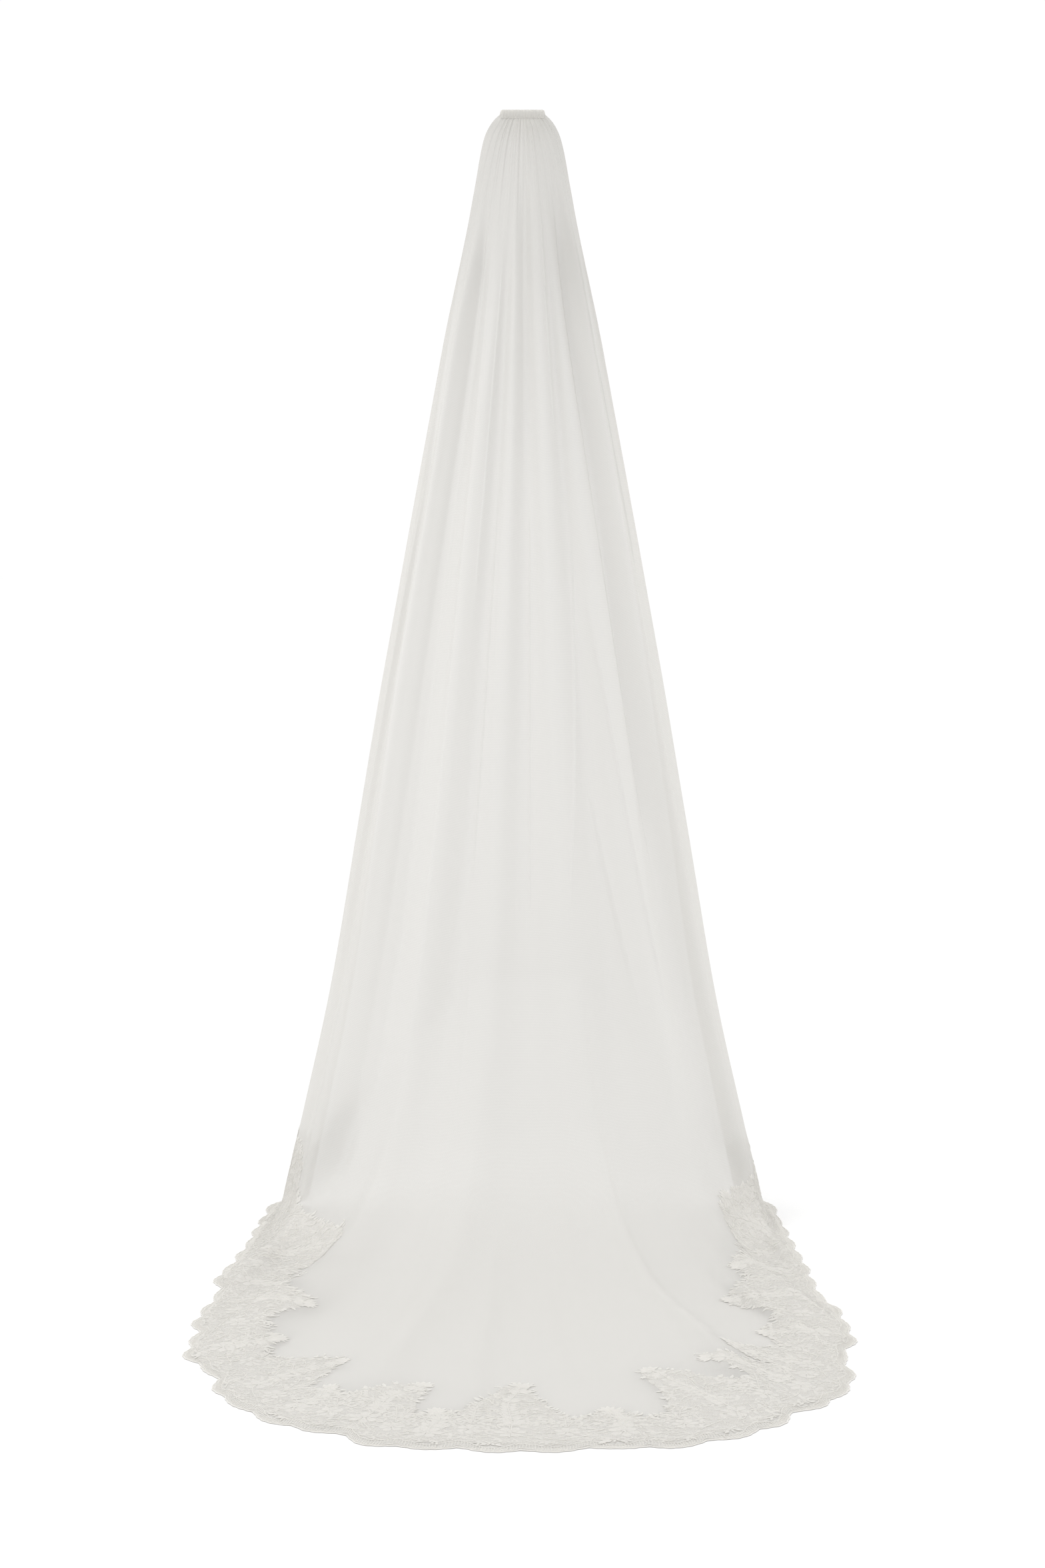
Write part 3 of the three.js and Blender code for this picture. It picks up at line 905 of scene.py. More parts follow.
@dataclass
class TulleSheet:
    """The single tier of tulle."""

    drape: Drape
    columns: int = 400
    hanging_rows: int = 150
    bend_rows: int = 44
    lying_rows: int = 50
    first_drop: float = 0.004
    gathered_reach: float = 0.55
    # Painted shade in the colour: by drop between the gathers, by side (darker at the edges, most on the
    # right, away from the key light) and by row (darker at the bend, painted light on the lying train).
    shade_drops: tuple = (0.0, 0.012, 0.03, 0.10, 0.20, 0.35, 0.60)
    shade_shares: tuple = (0.20, 0.45, 0.90, 1.00, 0.85, 0.35, 0.0)
    shade_sides: tuple = (-0.40, 0.50, 0.75)
    shade_base: float = 0.22
    shade_and_light_rows: tuple = (0.0, 0.85, 1.0, 1.3, 1.5, 2.0, 3.0)
    shade_and_light_shares: tuple = (0.0, 0.0, 0.08, 0.11, -0.11, -0.17, -0.06)

    def rows(self) -> Array:
        """Rows of the sheet, closer together near the binding."""
        hanging = np.linspace(0.0, 1.0, self.hanging_rows + 1)
        hanging = hanging * 0.45 + 0.55 * hanging**1.8
        first = self.first_drop / self.drape.floor_drop
        hanging = first + (1 - first) * hanging
        bend = np.linspace(1.0, 2.0, self.bend_rows + 1)[1:]
        lying = np.linspace(2.0, 3.0, self.lying_rows + 1)[1:]
        return np.concatenate([hanging, bend, lying])

    def grid(self) -> tuple[Array, Array]:
        """Points and normals of the sheet in rows and columns."""
        return self.drape.points(np.linspace(-1.0, 1.0, self.columns + 1), self.rows())

    def painted_shade_share(self, drop: Array) -> Array:
        """Share of painted shade in the colour: an even base everywhere, most between the gathers under the
        binding and towards the right side, more at the bend, and less on the lying train, where painted light
        brightens it.

        Args:
            drop: Distance of each point below the top.

        Returns:
            The share at each point.
        """
        side = np.linspace(-1.0, 1.0, self.columns + 1)
        left, middle, right = self.shade_sides
        # Painted shade between the gathers, more towards the edges and most on the right side.
        gathers = SmoothTable(self.shade_drops, self.shade_shares)(drop)
        gathers = gathers * (middle + np.where(side < 0, left, right) * side)
        # Painted shade at the bend and painted light on the lying train, most in the middle.
        shade_and_light = SmoothTable(self.shade_and_light_rows, self.shade_and_light_shares)(self.rows())[:, None]
        return gathers + self.shade_base + shade_and_light * (1 - side**2)

    def build(self) -> bpy.types.Object:
        """Make the sheet, with its net's coordinates along the cloth."""
        points, _ = self.grid()
        across, down = lengths_along(points, axis=1), lengths_along(points)
        middle = across[:, self.columns // 2][:, None]
        work = Patchwork()
        work.add_grid(points, np.stack([across - middle, down], axis=-1))
        piece = work.build("tulle_drape", TulleFinish().build())
        drop = self.drape.top_z - points[..., 2]
        gathered = 1 - smooth_step(0.0, self.gathered_reach, drop) ** 0.5
        # gathered closes the net; the other attribute is the share of painted shade in the colour.
        for name, value in (("gathered", gathered), ("crowded", self.painted_shade_share(drop))):
            layer = piece.data.attributes.new(name, "FLOAT", "POINT")
            layer.data.foreach_set("value", value.reshape(-1).astype(np.float32))
        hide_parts("tulle_sheet")
        LOG.info("centre length %.3f m, hem %.3f m", down[-1, self.columns // 2], across[-1, -1])
        return piece


class HemChart:
    """Places things on the draped train by their distance along the cut edge and in from it."""

    low: float = -0.030
    high: float = 0.340
    step: float = 0.0025
    walk: float = 1.2
    span: float = 0.004
    columns: int = 900
    straighten: float = 0.10
    free_edge: float = 0.82
    edge_fall: float = 0.0065
    edge_height: float = 0.0008
    layering: float = 0.0002
    corner: float = 0.33
    corner_width: float = 0.17
    corner_lean: float = 0.60

    def __init__(self, points: Array, normals: Array, drape: Drape) -> None:
        """Walk lines over the cloth, square to its cut edge.

        Args:
            points: The tulle's points, in rows from the binding to the cut edge.
            normals: Their normals.
            drape: The veil's shape.
        """
        self.side_length = drape.side_length
        self.sheet, self.sheet_normals = self.measure(points[::-1], normals[::-1])
        share = np.linspace(-1.0, 1.0, self.columns + 1)
        place = np.stack([(share + 1) / 2 * (points.shape[1] - 1), np.zeros_like(share)], axis=-1)
        across, _ = self.slopes(place)
        blur = np.arange(-3.0, 3.01, 2 / self.columns * self.side_length / self.straighten)
        weights = np.exp(-blur * blur)
        padded = np.pad(unit(across), ((len(blur) // 2, len(blur) // 2), (0, 0)), mode="edge")
        even = np.stack([np.convolve(padded[:, i], weights, "valid") for i in range(3)], axis=-1)[:len(share)]
        heading = unit(np.cross(unit(even), np.array([0.0, 0.0, -1.0])))
        with_column = smooth_step(self.free_edge, 1.0, np.abs(share))[:, None]
        rows = round((self.high - self.low) / self.step) + 1
        outside = round(-self.low / self.step)
        self.points = np.empty((rows, len(share), 3))
        self.normals = np.empty_like(self.points)
        for row in range(outside, rows):
            self.points[row], self.normals[row] = self.read(place)
            across, up = self.slopes(place)
            normal = self.normals[row]
            heading = unit(heading - np.sum(heading * normal, axis=-1, keepdims=True) * normal)
            aa, bb, ab = np.sum(across**2, -1), np.sum(up**2, -1), np.sum(across * up, -1)
            ha, hb = np.sum(heading * across, -1), np.sum(heading * up, -1)
            square = np.maximum(aa * bb - ab * ab, 1e-12)
            move = np.stack([(ha * bb - hb * ab) / square, (hb * aa - ha * ab) / square], axis=-1) * self.step
            straight = np.stack([np.zeros_like(aa), self.step / np.sqrt(bb)], axis=-1)
            place = place + move * (1 - with_column) + straight * with_column
            place[:, 0] = np.clip(place[:, 0], 0, points.shape[1] - 1)
        outward = unit((self.points[outside] - self.points[outside + 2]) * np.array([1.0, 1.0, 0.0]))
        for row in range(outside):
            past = (outside - row) * self.step
            self.points[row] = self.points[outside] + outward * past
            down = smooth_step(0.0, self.edge_fall, past)
            self.points[row, :, 2] += (drape.floor_z + self.edge_height - self.points[row, :, 2]) * down
            self.normals[row] = self.normals[outside]

    def measure(self, up: Array, normals: Array) -> tuple[Array, Array]:
        """Spread each column's points evenly by their distance from the cut edge.

        Args:
            up: The tulle's points, in rows from the cut edge.
            normals: Their normals.

        Returns:
            Points and normals in even steps.
        """
        measured = lengths_along(up)
        distances = np.arange(0.0, self.walk, self.step)
        spread = [np.empty((len(distances), up.shape[1], 3)) for _ in range(2)]
        for target, source in zip(spread, (up, normals)):
            for column in range(up.shape[1]):
                reached = measured[:, column]
                for axis in range(3):
                    target[:, column, axis] = np.interp(distances, reached, source[:, column, axis])
        return spread[0], spread[1]

    def read(self, place: Array) -> tuple[Array, Array]:
        """Points and normals of the measured columns.

        Args:
            place: Column and distance from the cut edge.

        Returns:
            The points and the normals there.
        """
        column = np.clip(place[:, 0], 0, self.sheet.shape[1] - 1 - 1e-6)
        row = np.clip(place[:, 1] / self.step, 0, len(self.sheet) - 1 - 1e-6)
        return bilinear(self.sheet, row, column), unit(bilinear(self.sheet_normals, row, column))

    def slopes(self, place: Array) -> tuple[Array, Array]:
        """How the cloth runs across and along the columns.

        Args:
            place: Column and distance from the cut edge.

        Returns:
            The change of a point for one column, and for one metre up the column.
        """
        wide, tall = np.array([1.5, 0.0]), np.array([0.0, 0.006])
        last = self.sheet.shape[1] - 1
        right, left = place + wide, place - wide
        right[:, 0], left[:, 0] = np.minimum(right[:, 0], last), np.maximum(left[:, 0], 0)
        above, below = place + tall, place - tall
        below[:, 1] = np.maximum(below[:, 1], 0)
        across = (self.read(right)[0] - self.read(left)[0]) / (right - left)[:, :1]
        up = (self.read(above)[0] - self.read(below)[0]) / (above - below)[:, 1:]
        return across, up

    def at(self, along: Array, inward: Array, lift: Array | float) -> tuple[Array, Array]:
        """Points and normals on the cloth.

        Args:
            along: Distance along the cut edge from the centre, right positive.
            inward: Distance in from the cut edge.
            lift: Height above the tulle.

        Returns:
            The points and the normals.
        """
        share = along / self.side_length
        from_corner = (np.abs(share) - self.corner) / self.corner_width
        lean = self.corner_lean * np.exp(-from_corner**2) * np.sign(share)
        share = np.clip(share + lean * np.maximum(inward, 0.0) / self.side_length, -1.0, 1.0)
        column = np.clip((share + 1) / 2 * self.columns, 0, self.columns - 1e-6)
        row = np.clip((inward - self.low) / self.step, 0, len(self.points) - 1 - 1e-6)
        normal = unit(bilinear(self.normals, row, column))
        raised = normal * np.broadcast_to(lift, along.shape)[..., None]
        return bilinear(self.points, row, column) + raised, normal

    def place(self, shape: Shape, rows: Array, lift: float) -> Array:
        """Copies of a small shape laid on the cloth at their true size.

        Args:
            shape: The shape.
            rows: One row for each copy: along, inward, turn in radians, and size.
            lift: Height of the shape's base above the tulle.

        Returns:
            Points of every copy.
        """
        along, inward, turn, size = (rows[:, i][:, None] for i in range(4))
        span = self.span
        right = self.at(along + span, inward, 0.0)[0] - self.at(along - span, inward, 0.0)[0]
        up = self.at(along, inward + span, 0.0)[0] - self.at(along, inward - span, 0.0)[0]
        right, up = right[:, 0] / (2 * span), up[:, 0] / (2 * span)
        wide = np.maximum(np.linalg.norm(right, axis=-1, keepdims=True), 0.15)
        lean = np.sum(up * right, axis=-1, keepdims=True) / wide
        tall = np.sqrt(np.maximum(np.sum(up * up, axis=-1, keepdims=True) - lean**2, 0.05))
        x = size * (np.cos(turn) * shape.points[None, :, 0] - np.sin(turn) * shape.points[None, :, 1])
        y = size * (np.sin(turn) * shape.points[None, :, 0] + np.cos(turn) * shape.points[None, :, 1])
        step_in = y / tall
        step_along = (x - lean * step_in) / wide
        layer = np.arange(len(rows))[:, None] * 0.618 % 1.0 * self.layering
        return self.at(along + step_along, inward + step_in, lift + layer + shape.points[None, :, 2])[0]


class PetalForm(Enum):
    """Outlines of the worked petals and leaves."""

    ROUND = "round"
    POINTED = "pointed"
    LEAF = "leaf"


def petal(form: PetalForm, width: float, relief: float, across: int = 5, along: int = 6) -> Shape:
    """One petal or leaf of unit length, with a raised rim, growing along +Y from the origin.

    Args:
        form: Its outline.
        width: Half its greatest width.
        relief: Height of its rim.
        across: Points across it.
        along: Points along it.

    Returns:
        The petal.
    """
    t = np.linspace(0.0, 1.0, along)
    if form is PetalForm.ROUND:
        half = np.sin(np.pi * np.clip(t, 0.03, 0.97) ** 1.35) ** 0.55
    elif form is PetalForm.POINTED:
        half = np.sin(np.pi * np.clip(t, 0.02, 0.99) ** 0.9)
    else:
        half = np.sin(np.pi * np.clip(t, 0.02, 0.98) ** 0.75) ** 0.9
    u = np.linspace(-1.0, 1.0, across)
    rim = np.interp(np.abs(u), [0.0, 0.5, 1.0], [0.35, 1.0, 0.1])
    grid_u, grid_t = np.meshgrid(u, t)
    x = width * half[:, None] * grid_u
    z = relief * rim[None, :] * np.interp(t, [0, 0.15, 0.8, 1], [0.3, 1.0, 0.9, 0.3])[:, None]
    points = np.stack([x, grid_t, z], axis=-1).reshape(-1, 3)
    scale = 0.012
    uv = np.stack([x * scale, grid_t * scale], axis=-1).reshape(-1, 2)
    return Shape(points, grid_quads(along, across), uv)


def joined(shapes: Sequence[Shape]) -> Shape:
    """Put several shapes into one."""
    counts = np.cumsum([0] + [len(shape.points) for shape in shapes])
    quads = [shape.quads + start for shape, start in zip(shapes, counts)]
    return Shape(np.concatenate([shape.points for shape in shapes]), np.concatenate(quads),
                 np.concatenate([shape.uv for shape in shapes]))


def turned(shape: Shape, angle: float, scale: float, out: float, lift: float) -> Shape:
    """Turn a petal about the flower's middle.

    Args:
        shape: The petal.
        angle: Turn in radians.
        scale: Its length as a share of the flower's radius.
        out: Where it starts from the middle.
        lift: How much higher it lies.

    Returns:
        The turned petal.
    """
    x = shape.points[:, 0] * scale
    y = shape.points[:, 1] * scale + out
    points = np.stack([x * math.cos(angle) - y * math.sin(angle), x * math.sin(angle) + y * math.cos(angle),
                       shape.points[:, 2] + lift], axis=-1)
    return Shape(points, shape.quads, shape.uv)


def knot(radius: float, height: float, lift: float) -> Shape:
    """The domed knot in a flower's middle."""
    line = np.linspace(-1.0, 1.0, 4)
    u, v = np.meshgrid(line, line)
    x = radius * u * np.sqrt(1 - v * v / 2)
    y = radius * v * np.sqrt(1 - u * u / 2)
    z = lift + height * (1 - np.clip((x * x + y * y) / radius**2, 0, 1))
    points = np.stack([x, y, z], axis=-1).reshape(-1, 3)
    return Shape(points, grid_quads(4, 4), points[:, :2] * 0.02)


class Motif(Enum):
    """The worked motifs of the lace."""

    ROSE = "rose"
    STAR = "star"
    SPECK = "speck"
    LEAF = "leaf"
    SLIP = "slip"


class Cord(Enum):
    """Half the width, and the height, of each kind of cord."""

    STEM = (0.0008, 0.0007)
    CURL = (0.0006, 0.0005)
    ARC = (0.0005, 0.0004)
    BRANCH = (0.0007, 0.0008)
    TWIG = (0.0007, 0.0006)
    RIM = (0.0008, 0.0008)
    LINE = (0.0005, 0.0005)
    BAR = (0.0005, 0.0006)


@dataclass(frozen=True)
class Bloom:
    """A flower on a spray's stem. at is a share of the stem's length."""

    at: float
    radius: float
    motif: Motif


BLOOMS = (
    Bloom(at=0.10, radius=0.0185, motif=Motif.ROSE),
    Bloom(at=0.34, radius=0.0150, motif=Motif.ROSE),
    Bloom(at=0.56, radius=0.0115, motif=Motif.STAR),
    Bloom(at=0.74, radius=0.0090, motif=Motif.STAR),
    Bloom(at=0.88, radius=0.0065, motif=Motif.STAR),
)


def motif_shape(motif: Motif) -> Shape:
    """Make one motif with a radius or length of 1.

    Args:
        motif: Which one.

    Returns:
        Its shape.
    """
    full = 2 * math.pi
    if motif is Motif.ROSE:
        outer = petal(PetalForm.ROUND, 0.40, 0.0004)
        inner = petal(PetalForm.POINTED, 0.30, 0.0003)
        ring = [turned(outer, full * i / 6, 0.80, 0.20, 0.0) for i in range(6)]
        heart = [turned(inner, full * (i + 0.5) / 5, 0.42, 0.10, 0.0003) for i in range(5)]
        return joined([*ring, *heart, knot(0.15, 0.0006, 0.0004)])
    if motif is Motif.STAR:
        leaf = petal(PetalForm.POINTED, 0.30, 0.0003)
        ring = [turned(leaf, full * i / 5, 0.85, 0.13, 0.0) for i in range(5)]
        return joined([*ring, knot(0.17, 0.0005, 0.0003)])
    if motif is Motif.SPECK:
        leaf = petal(PetalForm.ROUND, 0.34, 0.0003, across=3, along=4)
        return joined([turned(leaf, full * i / 5, 0.85, 0.12, 0.0) for i in range(5)])
    if motif is Motif.LEAF:
        return petal(PetalForm.LEAF, 0.24, 0.0003)
    return petal(PetalForm.LEAF, 0.20, 0.0003, across=3, along=4)


def scroll(start: tuple, heading: float, length: float, first: float, last: float,
           step: float = 0.003) -> Array:
    """A scroll line whose bend changes evenly along it.

    Args:
        start: Where it starts, along and inward.
        heading: Its first direction in radians, 0 along the edge and a quarter turn straight in.
        length: Its length.
        first: Its bend at the start, in radians a metre.
        last: Its bend at the end.
        step: Distance between its points.

    Returns:
        Points, along and inward.
    """
    count = max(3, round(length / step))
    share = np.linspace(0.0, 1.0, count)
    turn = heading + length * (first * share + (last - first) * share**2 / 2)
    moves = np.stack([np.cos(turn), np.sin(turn)], axis=-1)[:-1] * (length / (count - 1))
    return np.concatenate([[start], np.asarray(start) + np.cumsum(moves, axis=0)])


@dataclass
class LaceBorder:
    """Corded floral lace sewn over the tulle's cut edge, with pointed sprays on its inner side."""

    chart: HemChart
    depth: float = 0.082
    free_edge_depth: float = 0.135
    overhang: float = 0.0065
    scallop: float = 0.010
    scallops: int = 40
    bite: float = 0.0014
    bites_per_scallop: int = 5
    large_lobe: float = 0.0065
    large_lobe_pitch: float = 0.0230
    small_lobe: float = 0.0045
    small_lobe_pitch: float = 0.0131
    lobe_base: float = 0.004
    seam: float = 0.012
    cord_lift: float = 0.0002
    ground_columns: int = 1400
    ground_rows: int = 60
    lift: float = 0.0006
    work_lift: float = 0.0007
    fill: int = 20000
    cords: list = field(default_factory=list)
    motifs: dict = field(default_factory=dict)
    taken: list = field(default_factory=list)

    def inner(self, along: Array) -> Array:
        """How far in the border reaches."""
        share = along / self.chart.side_length
        low = self.depth + (self.free_edge_depth - self.depth) * smooth_step(0.90, 1.0, np.abs(share))
        reach = low
        for spray in SPRAYS:
            from_tip = (share - spray.hem) / spray.width
            reach = np.maximum(reach, low + (spray.reach - low) * np.exp(-from_tip**2))
        large = self.large_lobe * np.abs(np.sin(np.pi * along / self.large_lobe_pitch))
        small = self.small_lobe * np.abs(np.sin(np.pi * along / self.small_lobe_pitch + 0.7))
        return reach - self.lobe_base + (large + small)

    def outer(self, along: Array) -> Array:
        """Where the scalloped edge lies."""
        place = (along / self.chart.side_length + 1) / 2 * self.scallops
        depth = np.random.default_rng(SEED + 4).uniform(0.45, 1.15, self.scallops + 1)
        depth = depth[np.clip(place.astype(int), 0, self.scallops)]
        waves = self.scallop * depth * (np.hypot(np.sin(np.pi * place), 0.2) - 0.2) / 0.82
        bites = self.bite * np.abs(np.sin(np.pi * place * self.bites_per_scallop + np.sin(place * 1.7)))
        return -self.overhang - waves - bites

    def settled(self, inward: Array, lift: float) -> Array:
        """Height above the tulle, less past the tulle's cut edge, where the lace lies on the floor."""
        return lift * smooth_step(-0.006, 0.010, inward) - 0.0006 * (1 - smooth_step(-0.008, 0.004, inward))

    def note(self, motif: Motif, along: float, inward: float, turn: float, size: float) -> None:
        """Note one motif to be worked."""
        self.motifs.setdefault(motif, []).append((along, inward, turn, size))

    def take(self, along: float, inward: float, radius: float) -> None:
        """Keep a place for a flower."""
        point = self.chart.at(np.array([along]), np.array([inward]), 0.0)[0][0]
        self.taken.append((*point, radius))

    def flower(self, motif: Motif, along: float, inward: float, radius: float, turn: float) -> None:
        """Work a flower and keep its place."""
        self.note(motif, along, inward, turn, radius)
        self.take(along, inward, radius)

    def cord(self, path: Array, kind: Cord) -> None:
        """Lay a cord along a path."""
        self.cords.append((path, *kind.value))

    def leafy(self, path: Array, spacing: float, first: float, last: float, spread: float) -> None:
        """Set leaves in pairs along a stem.

        Args:
            path: The stem.
            spacing: Distance between two pairs.
            first: Length of the first leaves.
            last: Length of the last.
            spread: Angle between a leaf and the stem, in radians.
        """
        length = lengths_along(path)
        count = int(length[-1] / spacing)
        for i in range(1, count + 1):
            at = i * spacing
            point = [float(np.interp(at, length, path[:, k])) for k in range(2)]
            ahead = [float(np.interp(at + 0.003, length, path[:, k])) for k in range(2)]
            behind = [float(np.interp(at - 0.003, length, path[:, k])) for k in range(2)]
            heading = math.atan2(ahead[1] - behind[1], ahead[0] - behind[0]) - math.pi / 2
            size = first + (last - first) * i / max(count, 1)
            for side in (-1, 1):
                self.note(Motif.LEAF, *point, heading + side * spread, size)

    def work_spray(self, middle: float, tip: float, side: int) -> None:
        """Work one pointed spray.

        Args:
            middle: Where it stands along the edge.
            tip: How far in it reaches.
            side: 1 or -1, the way it sways.
        """
        up = math.pi / 2
        t = np.linspace(0.0, 1.0, 40)
        sway = 0.010 * side * np.sin(2.6 * np.pi * t) * t
        stem = np.stack([middle + sway, 0.026 + (tip - 0.034) * t], axis=-1)
        last = len(stem) - 1
        self.cord(stem, Cord.STEM)
        for bloom in BLOOMS:
            point = stem[round(bloom.at * last)]
            self.flower(bloom.motif, point[0], point[1], bloom.radius, bloom.at * 7 * side)
        self.leafy(stem[8:], 0.0085, 0.0185, 0.0090, 0.85)
        for at, length in ((1.0, 0.017), (0.86, 0.016), (0.70, 0.015)):
            root = stem[round(at * last)]
            for turn in (-1.25, -0.75, -0.25, 0.25, 0.75, 1.25):
                self.note(Motif.LEAF, root[0], root[1], turn, length)
        for at, length in ((0.20, 0.070), (0.40, 0.056), (0.60, 0.038)):
            root = stem[round(at * last)]
            for way in (-1, 1):
                curl = scroll(tuple(root), up - way * 0.95, length, way * 4, -way * 62)
                self.cord(curl, Cord.CURL)
                self.leafy(curl[:-4], 0.011, 0.0105, 0.0075, 0.9)
                self.flower(Motif.STAR, curl[-1, 0], curl[-1, 1], 0.0078, length * 90)
                arc = scroll(tuple(root + [0, 0.012]), up - way * 0.55, length * 0.8, way * 9, -way * 25)
                self.cord(arc, Cord.ARC)

    def work_valley(self, middle: float, depth: float, side: int) -> None:
        """Work the low stretch between two sprays.

        Args:
            middle: Where it lies along the edge.
            depth: How far in the border reaches there.
            side: 1 or -1, the way its flowers are turned.
        """
        up = math.pi / 2
        self.flower(Motif.ROSE, middle, 0.046, 0.0160, side)
        for way in (-1, 1):
            self.flower(Motif.STAR, middle + way * 0.021, 0.066, 0.0100, way)
            self.flower(Motif.STAR, middle + way * 0.026, 0.034, 0.0090, way * 2)
            curl = scroll((middle, 0.062), up - way * 0.5, depth * 0.45, way * 8, -way * 58)
            self.cord(curl, Cord.BRANCH)
            self.leafy(curl, 0.010, 0.0120, 0.0080, 0.9)
            low = scroll((middle + way * 0.012, 0.020), up - way * 1.2, 0.052, -way * 16, way * 30)
            self.cord(low, Cord.CURL)
        stem = np.stack([np.full(12, middle), np.linspace(0.060, depth - 0.012, 12)], axis=-1)
        self.cord(stem, Cord.TWIG)
        self.leafy(stem[3:], 0.0090, 0.0130, 0.0090, 0.8)
        self.flower(Motif.STAR, middle, depth - 0.020, 0.0075, side * 3)

    def work_edge(self) -> None:
        """Work the corded scallops, their ladder of bars and the small flowers above them."""
        end = self.chart.side_length - 0.0005
        along = np.arange(-end, end, 0.0028)
        edge = self.outer(along)
        for inset, kind in ((0.0006, Cord.RIM), (0.0042, Cord.LINE), (0.0125, Cord.TWIG)):
            self.cord(np.stack([along, edge + inset], axis=-1), kind)
        for at in np.arange(-end + 0.002, end, 0.0036):
            low = float(self.outer(np.array([at]))[0])
            bar = np.array([[at, low + 0.0042], [at + 0.0008, low + 0.0085], [at, low + 0.0125]])
            self.cord(bar, Cord.BAR)
        pitch = 2 * self.chart.side_length / self.scallops
        for i in range(self.scallops * 3):
            middle = -self.chart.side_length + (i + 0.5) * pitch / 3
            inward = float(self.outer(np.array([middle]))[0]) + 0.0215
            self.flower(Motif.STAR, middle, inward, 0.0072, i * 1.3)
            for way in (-1, 1):
                self.note(Motif.SLIP, middle + way * 0.0045, inward - 0.003, -way * 1.9, 0.0085)
                self.note(Motif.SLIP, middle + way * 0.0045, inward + 0.003, -way * 1.1, 0.0085)

    def work_fringe(self) -> None:
        """Set small leaves along the inner edge, pointing away from the border."""
        rng = np.random.default_rng(SEED + 5)
        end = self.chart.side_length - 0.020
        along = np.sort(rng.uniform(-end, end, round(2 * end / 0.0060)))
        inward = self.inner(along)
        slope = (self.inner(along + 0.012) - self.inner(along - 0.012)) / 0.024
        turn = np.arctan(slope) + rng.uniform(-0.5, 0.5, len(along))
        inset = rng.uniform(0.006, 0.015, len(along))
        size = rng.uniform(0.007, 0.012, len(along))
        for row in zip(along, inward - inset, turn, size):
            self.note(Motif.LEAF, *(float(value) for value in row))

    def work_filling(self) -> None:
        """Fill the room that is left with small flowers and leaves, closer towards the edge."""
        rng = np.random.default_rng(SEED + 2)
        reach = self.chart.side_length - 0.008
        along = rng.uniform(-reach, reach, self.fill)
        low = self.outer(along) + 0.017
        high = self.inner(along) - 0.008
        inward = low + (high - low) * rng.uniform(0.0, 1.0, self.fill) ** 1.25
        radius = rng.choice([0.0038, 0.0048, 0.0060], self.fill)
        turn = rng.uniform(0.0, 6.28, self.fill)
        kind = rng.uniform(0.0, 1.0, self.fill)
        points = self.chart.at(along, inward, 0.0)[0]
        taken = np.empty((len(self.taken) + self.fill, 4))
        taken[:len(self.taken)] = self.taken
        used = len(self.taken)
        for i in range(self.fill):
            gap = np.linalg.norm(taken[:used, :3] - points[i], axis=1) - 0.78 * (taken[:used, 3] + radius[i])
            if gap.min() < 0:
                continue
            taken[used] = (*points[i], radius[i])
            used += 1
            if kind[i] < 0.55:
                self.note(Motif.SPECK, along[i], inward[i], turn[i], radius[i])
            else:
                for k in range(3):
                    self.note(Motif.SLIP, along[i], inward[i], turn[i] + (k - 1) * 1.1, radius[i] * 2.1)
            if kind[i] > 0.8 or kind[i] < 0.12:
                self.cord(scroll((along[i], inward[i]), turn[i], 0.020, 40.0, 190.0), Cord.BAR)

    def design(self) -> None:
        """Lay out the whole pattern."""
        for i, spray in enumerate(SPRAYS):
            side = 1 if i % 2 else -1
            self.work_spray(spray.hem * self.chart.side_length, spray.reach - 0.002, side)
            following = SPRAYS[i + 1].hem if i + 1 < len(SPRAYS) else 1.02
            if following - spray.hem > 0.06:
                valley = (spray.hem + following) / 2 * self.chart.side_length
                self.work_valley(valley, float(self.inner(np.array([valley]))[0]), side)
        self.work_edge()
        self.work_fringe()
        self.work_filling()

    def build_ground(self) -> bpy.types.Object:
        """Make the lace's own net."""
        columns, rows = self.ground_columns, self.ground_rows
        along = np.linspace(-self.chart.side_length, self.chart.side_length, columns + 1)
        low = self.outer(along)
        high = self.inner(along) - 0.006
        share = np.linspace(0.0, 1.0, rows + 1)[:, None]
        inward = high + (low - high) * share
        along_grid = np.broadcast_to(along, inward.shape)
        sewn = 0.5 + 0.5 * smooth_step(0.0, self.seam, high - inward)
        points = self.chart.at(along_grid, inward, self.settled(inward, self.lift) * sewn)[0]
        work = Patchwork()
        work.add_grid(points, np.stack([along_grid, inward], axis=-1))
        return work.build("lace_net", LaceGroundFinish().build())

    def build_motifs(self, name: str, kinds: Sequence[Motif]) -> bpy.types.Object:
        """Work the motifs of some kinds as one piece.

        Args:
            name: Name of the piece.
            kinds: Which motifs go into it.

        Returns:
            The piece.
        """
        work = Patchwork()
        for kind in kinds:
            shape = motif_shape(kind)
            rows = np.array(self.motifs[kind])
            inside = np.abs(rows[:, 0]) < self.chart.side_length - rows[:, 3]
            rows = rows[inside]
            work.add(self.chart.place(shape, rows, self.work_lift), shape.quads, shape.uv)
            LOG.info("%d of %s, %d quads", len(rows), kind.value, len(rows) * len(shape.quads))
        return work.build(name, StitchFinish(name).build())

    def build_cords(self) -> bpy.types.Object:
        """Make the raised cords as one piece."""
        work = Patchwork()
        for path, width, height in self.cords:
            along, inward = path[np.abs(path[:, 0]) < self.chart.side_length - 0.0004].T
            if len(along) < 3:
                continue
            lift = self.settled(inward, self.work_lift) + self.cord_lift
            points, normals = self.chart.at(along, inward, lift)
            side = unit(np.cross(normals, np.gradient(points, axis=0)))
            section = ((-1.0, 0.0), (-0.5, 0.8), (0.5, 0.8), (1.0, 0.0))
            grid = np.stack([points + side * width * x + normals * height * z for x, z in section], axis=1)
            work.add_grid(grid, thread_map(lengths_along(points)[:, None], np.linspace(0, width, 4)))
        return work.build("lace_cords", StitchFinish("lace cord", row=0.0011).build())

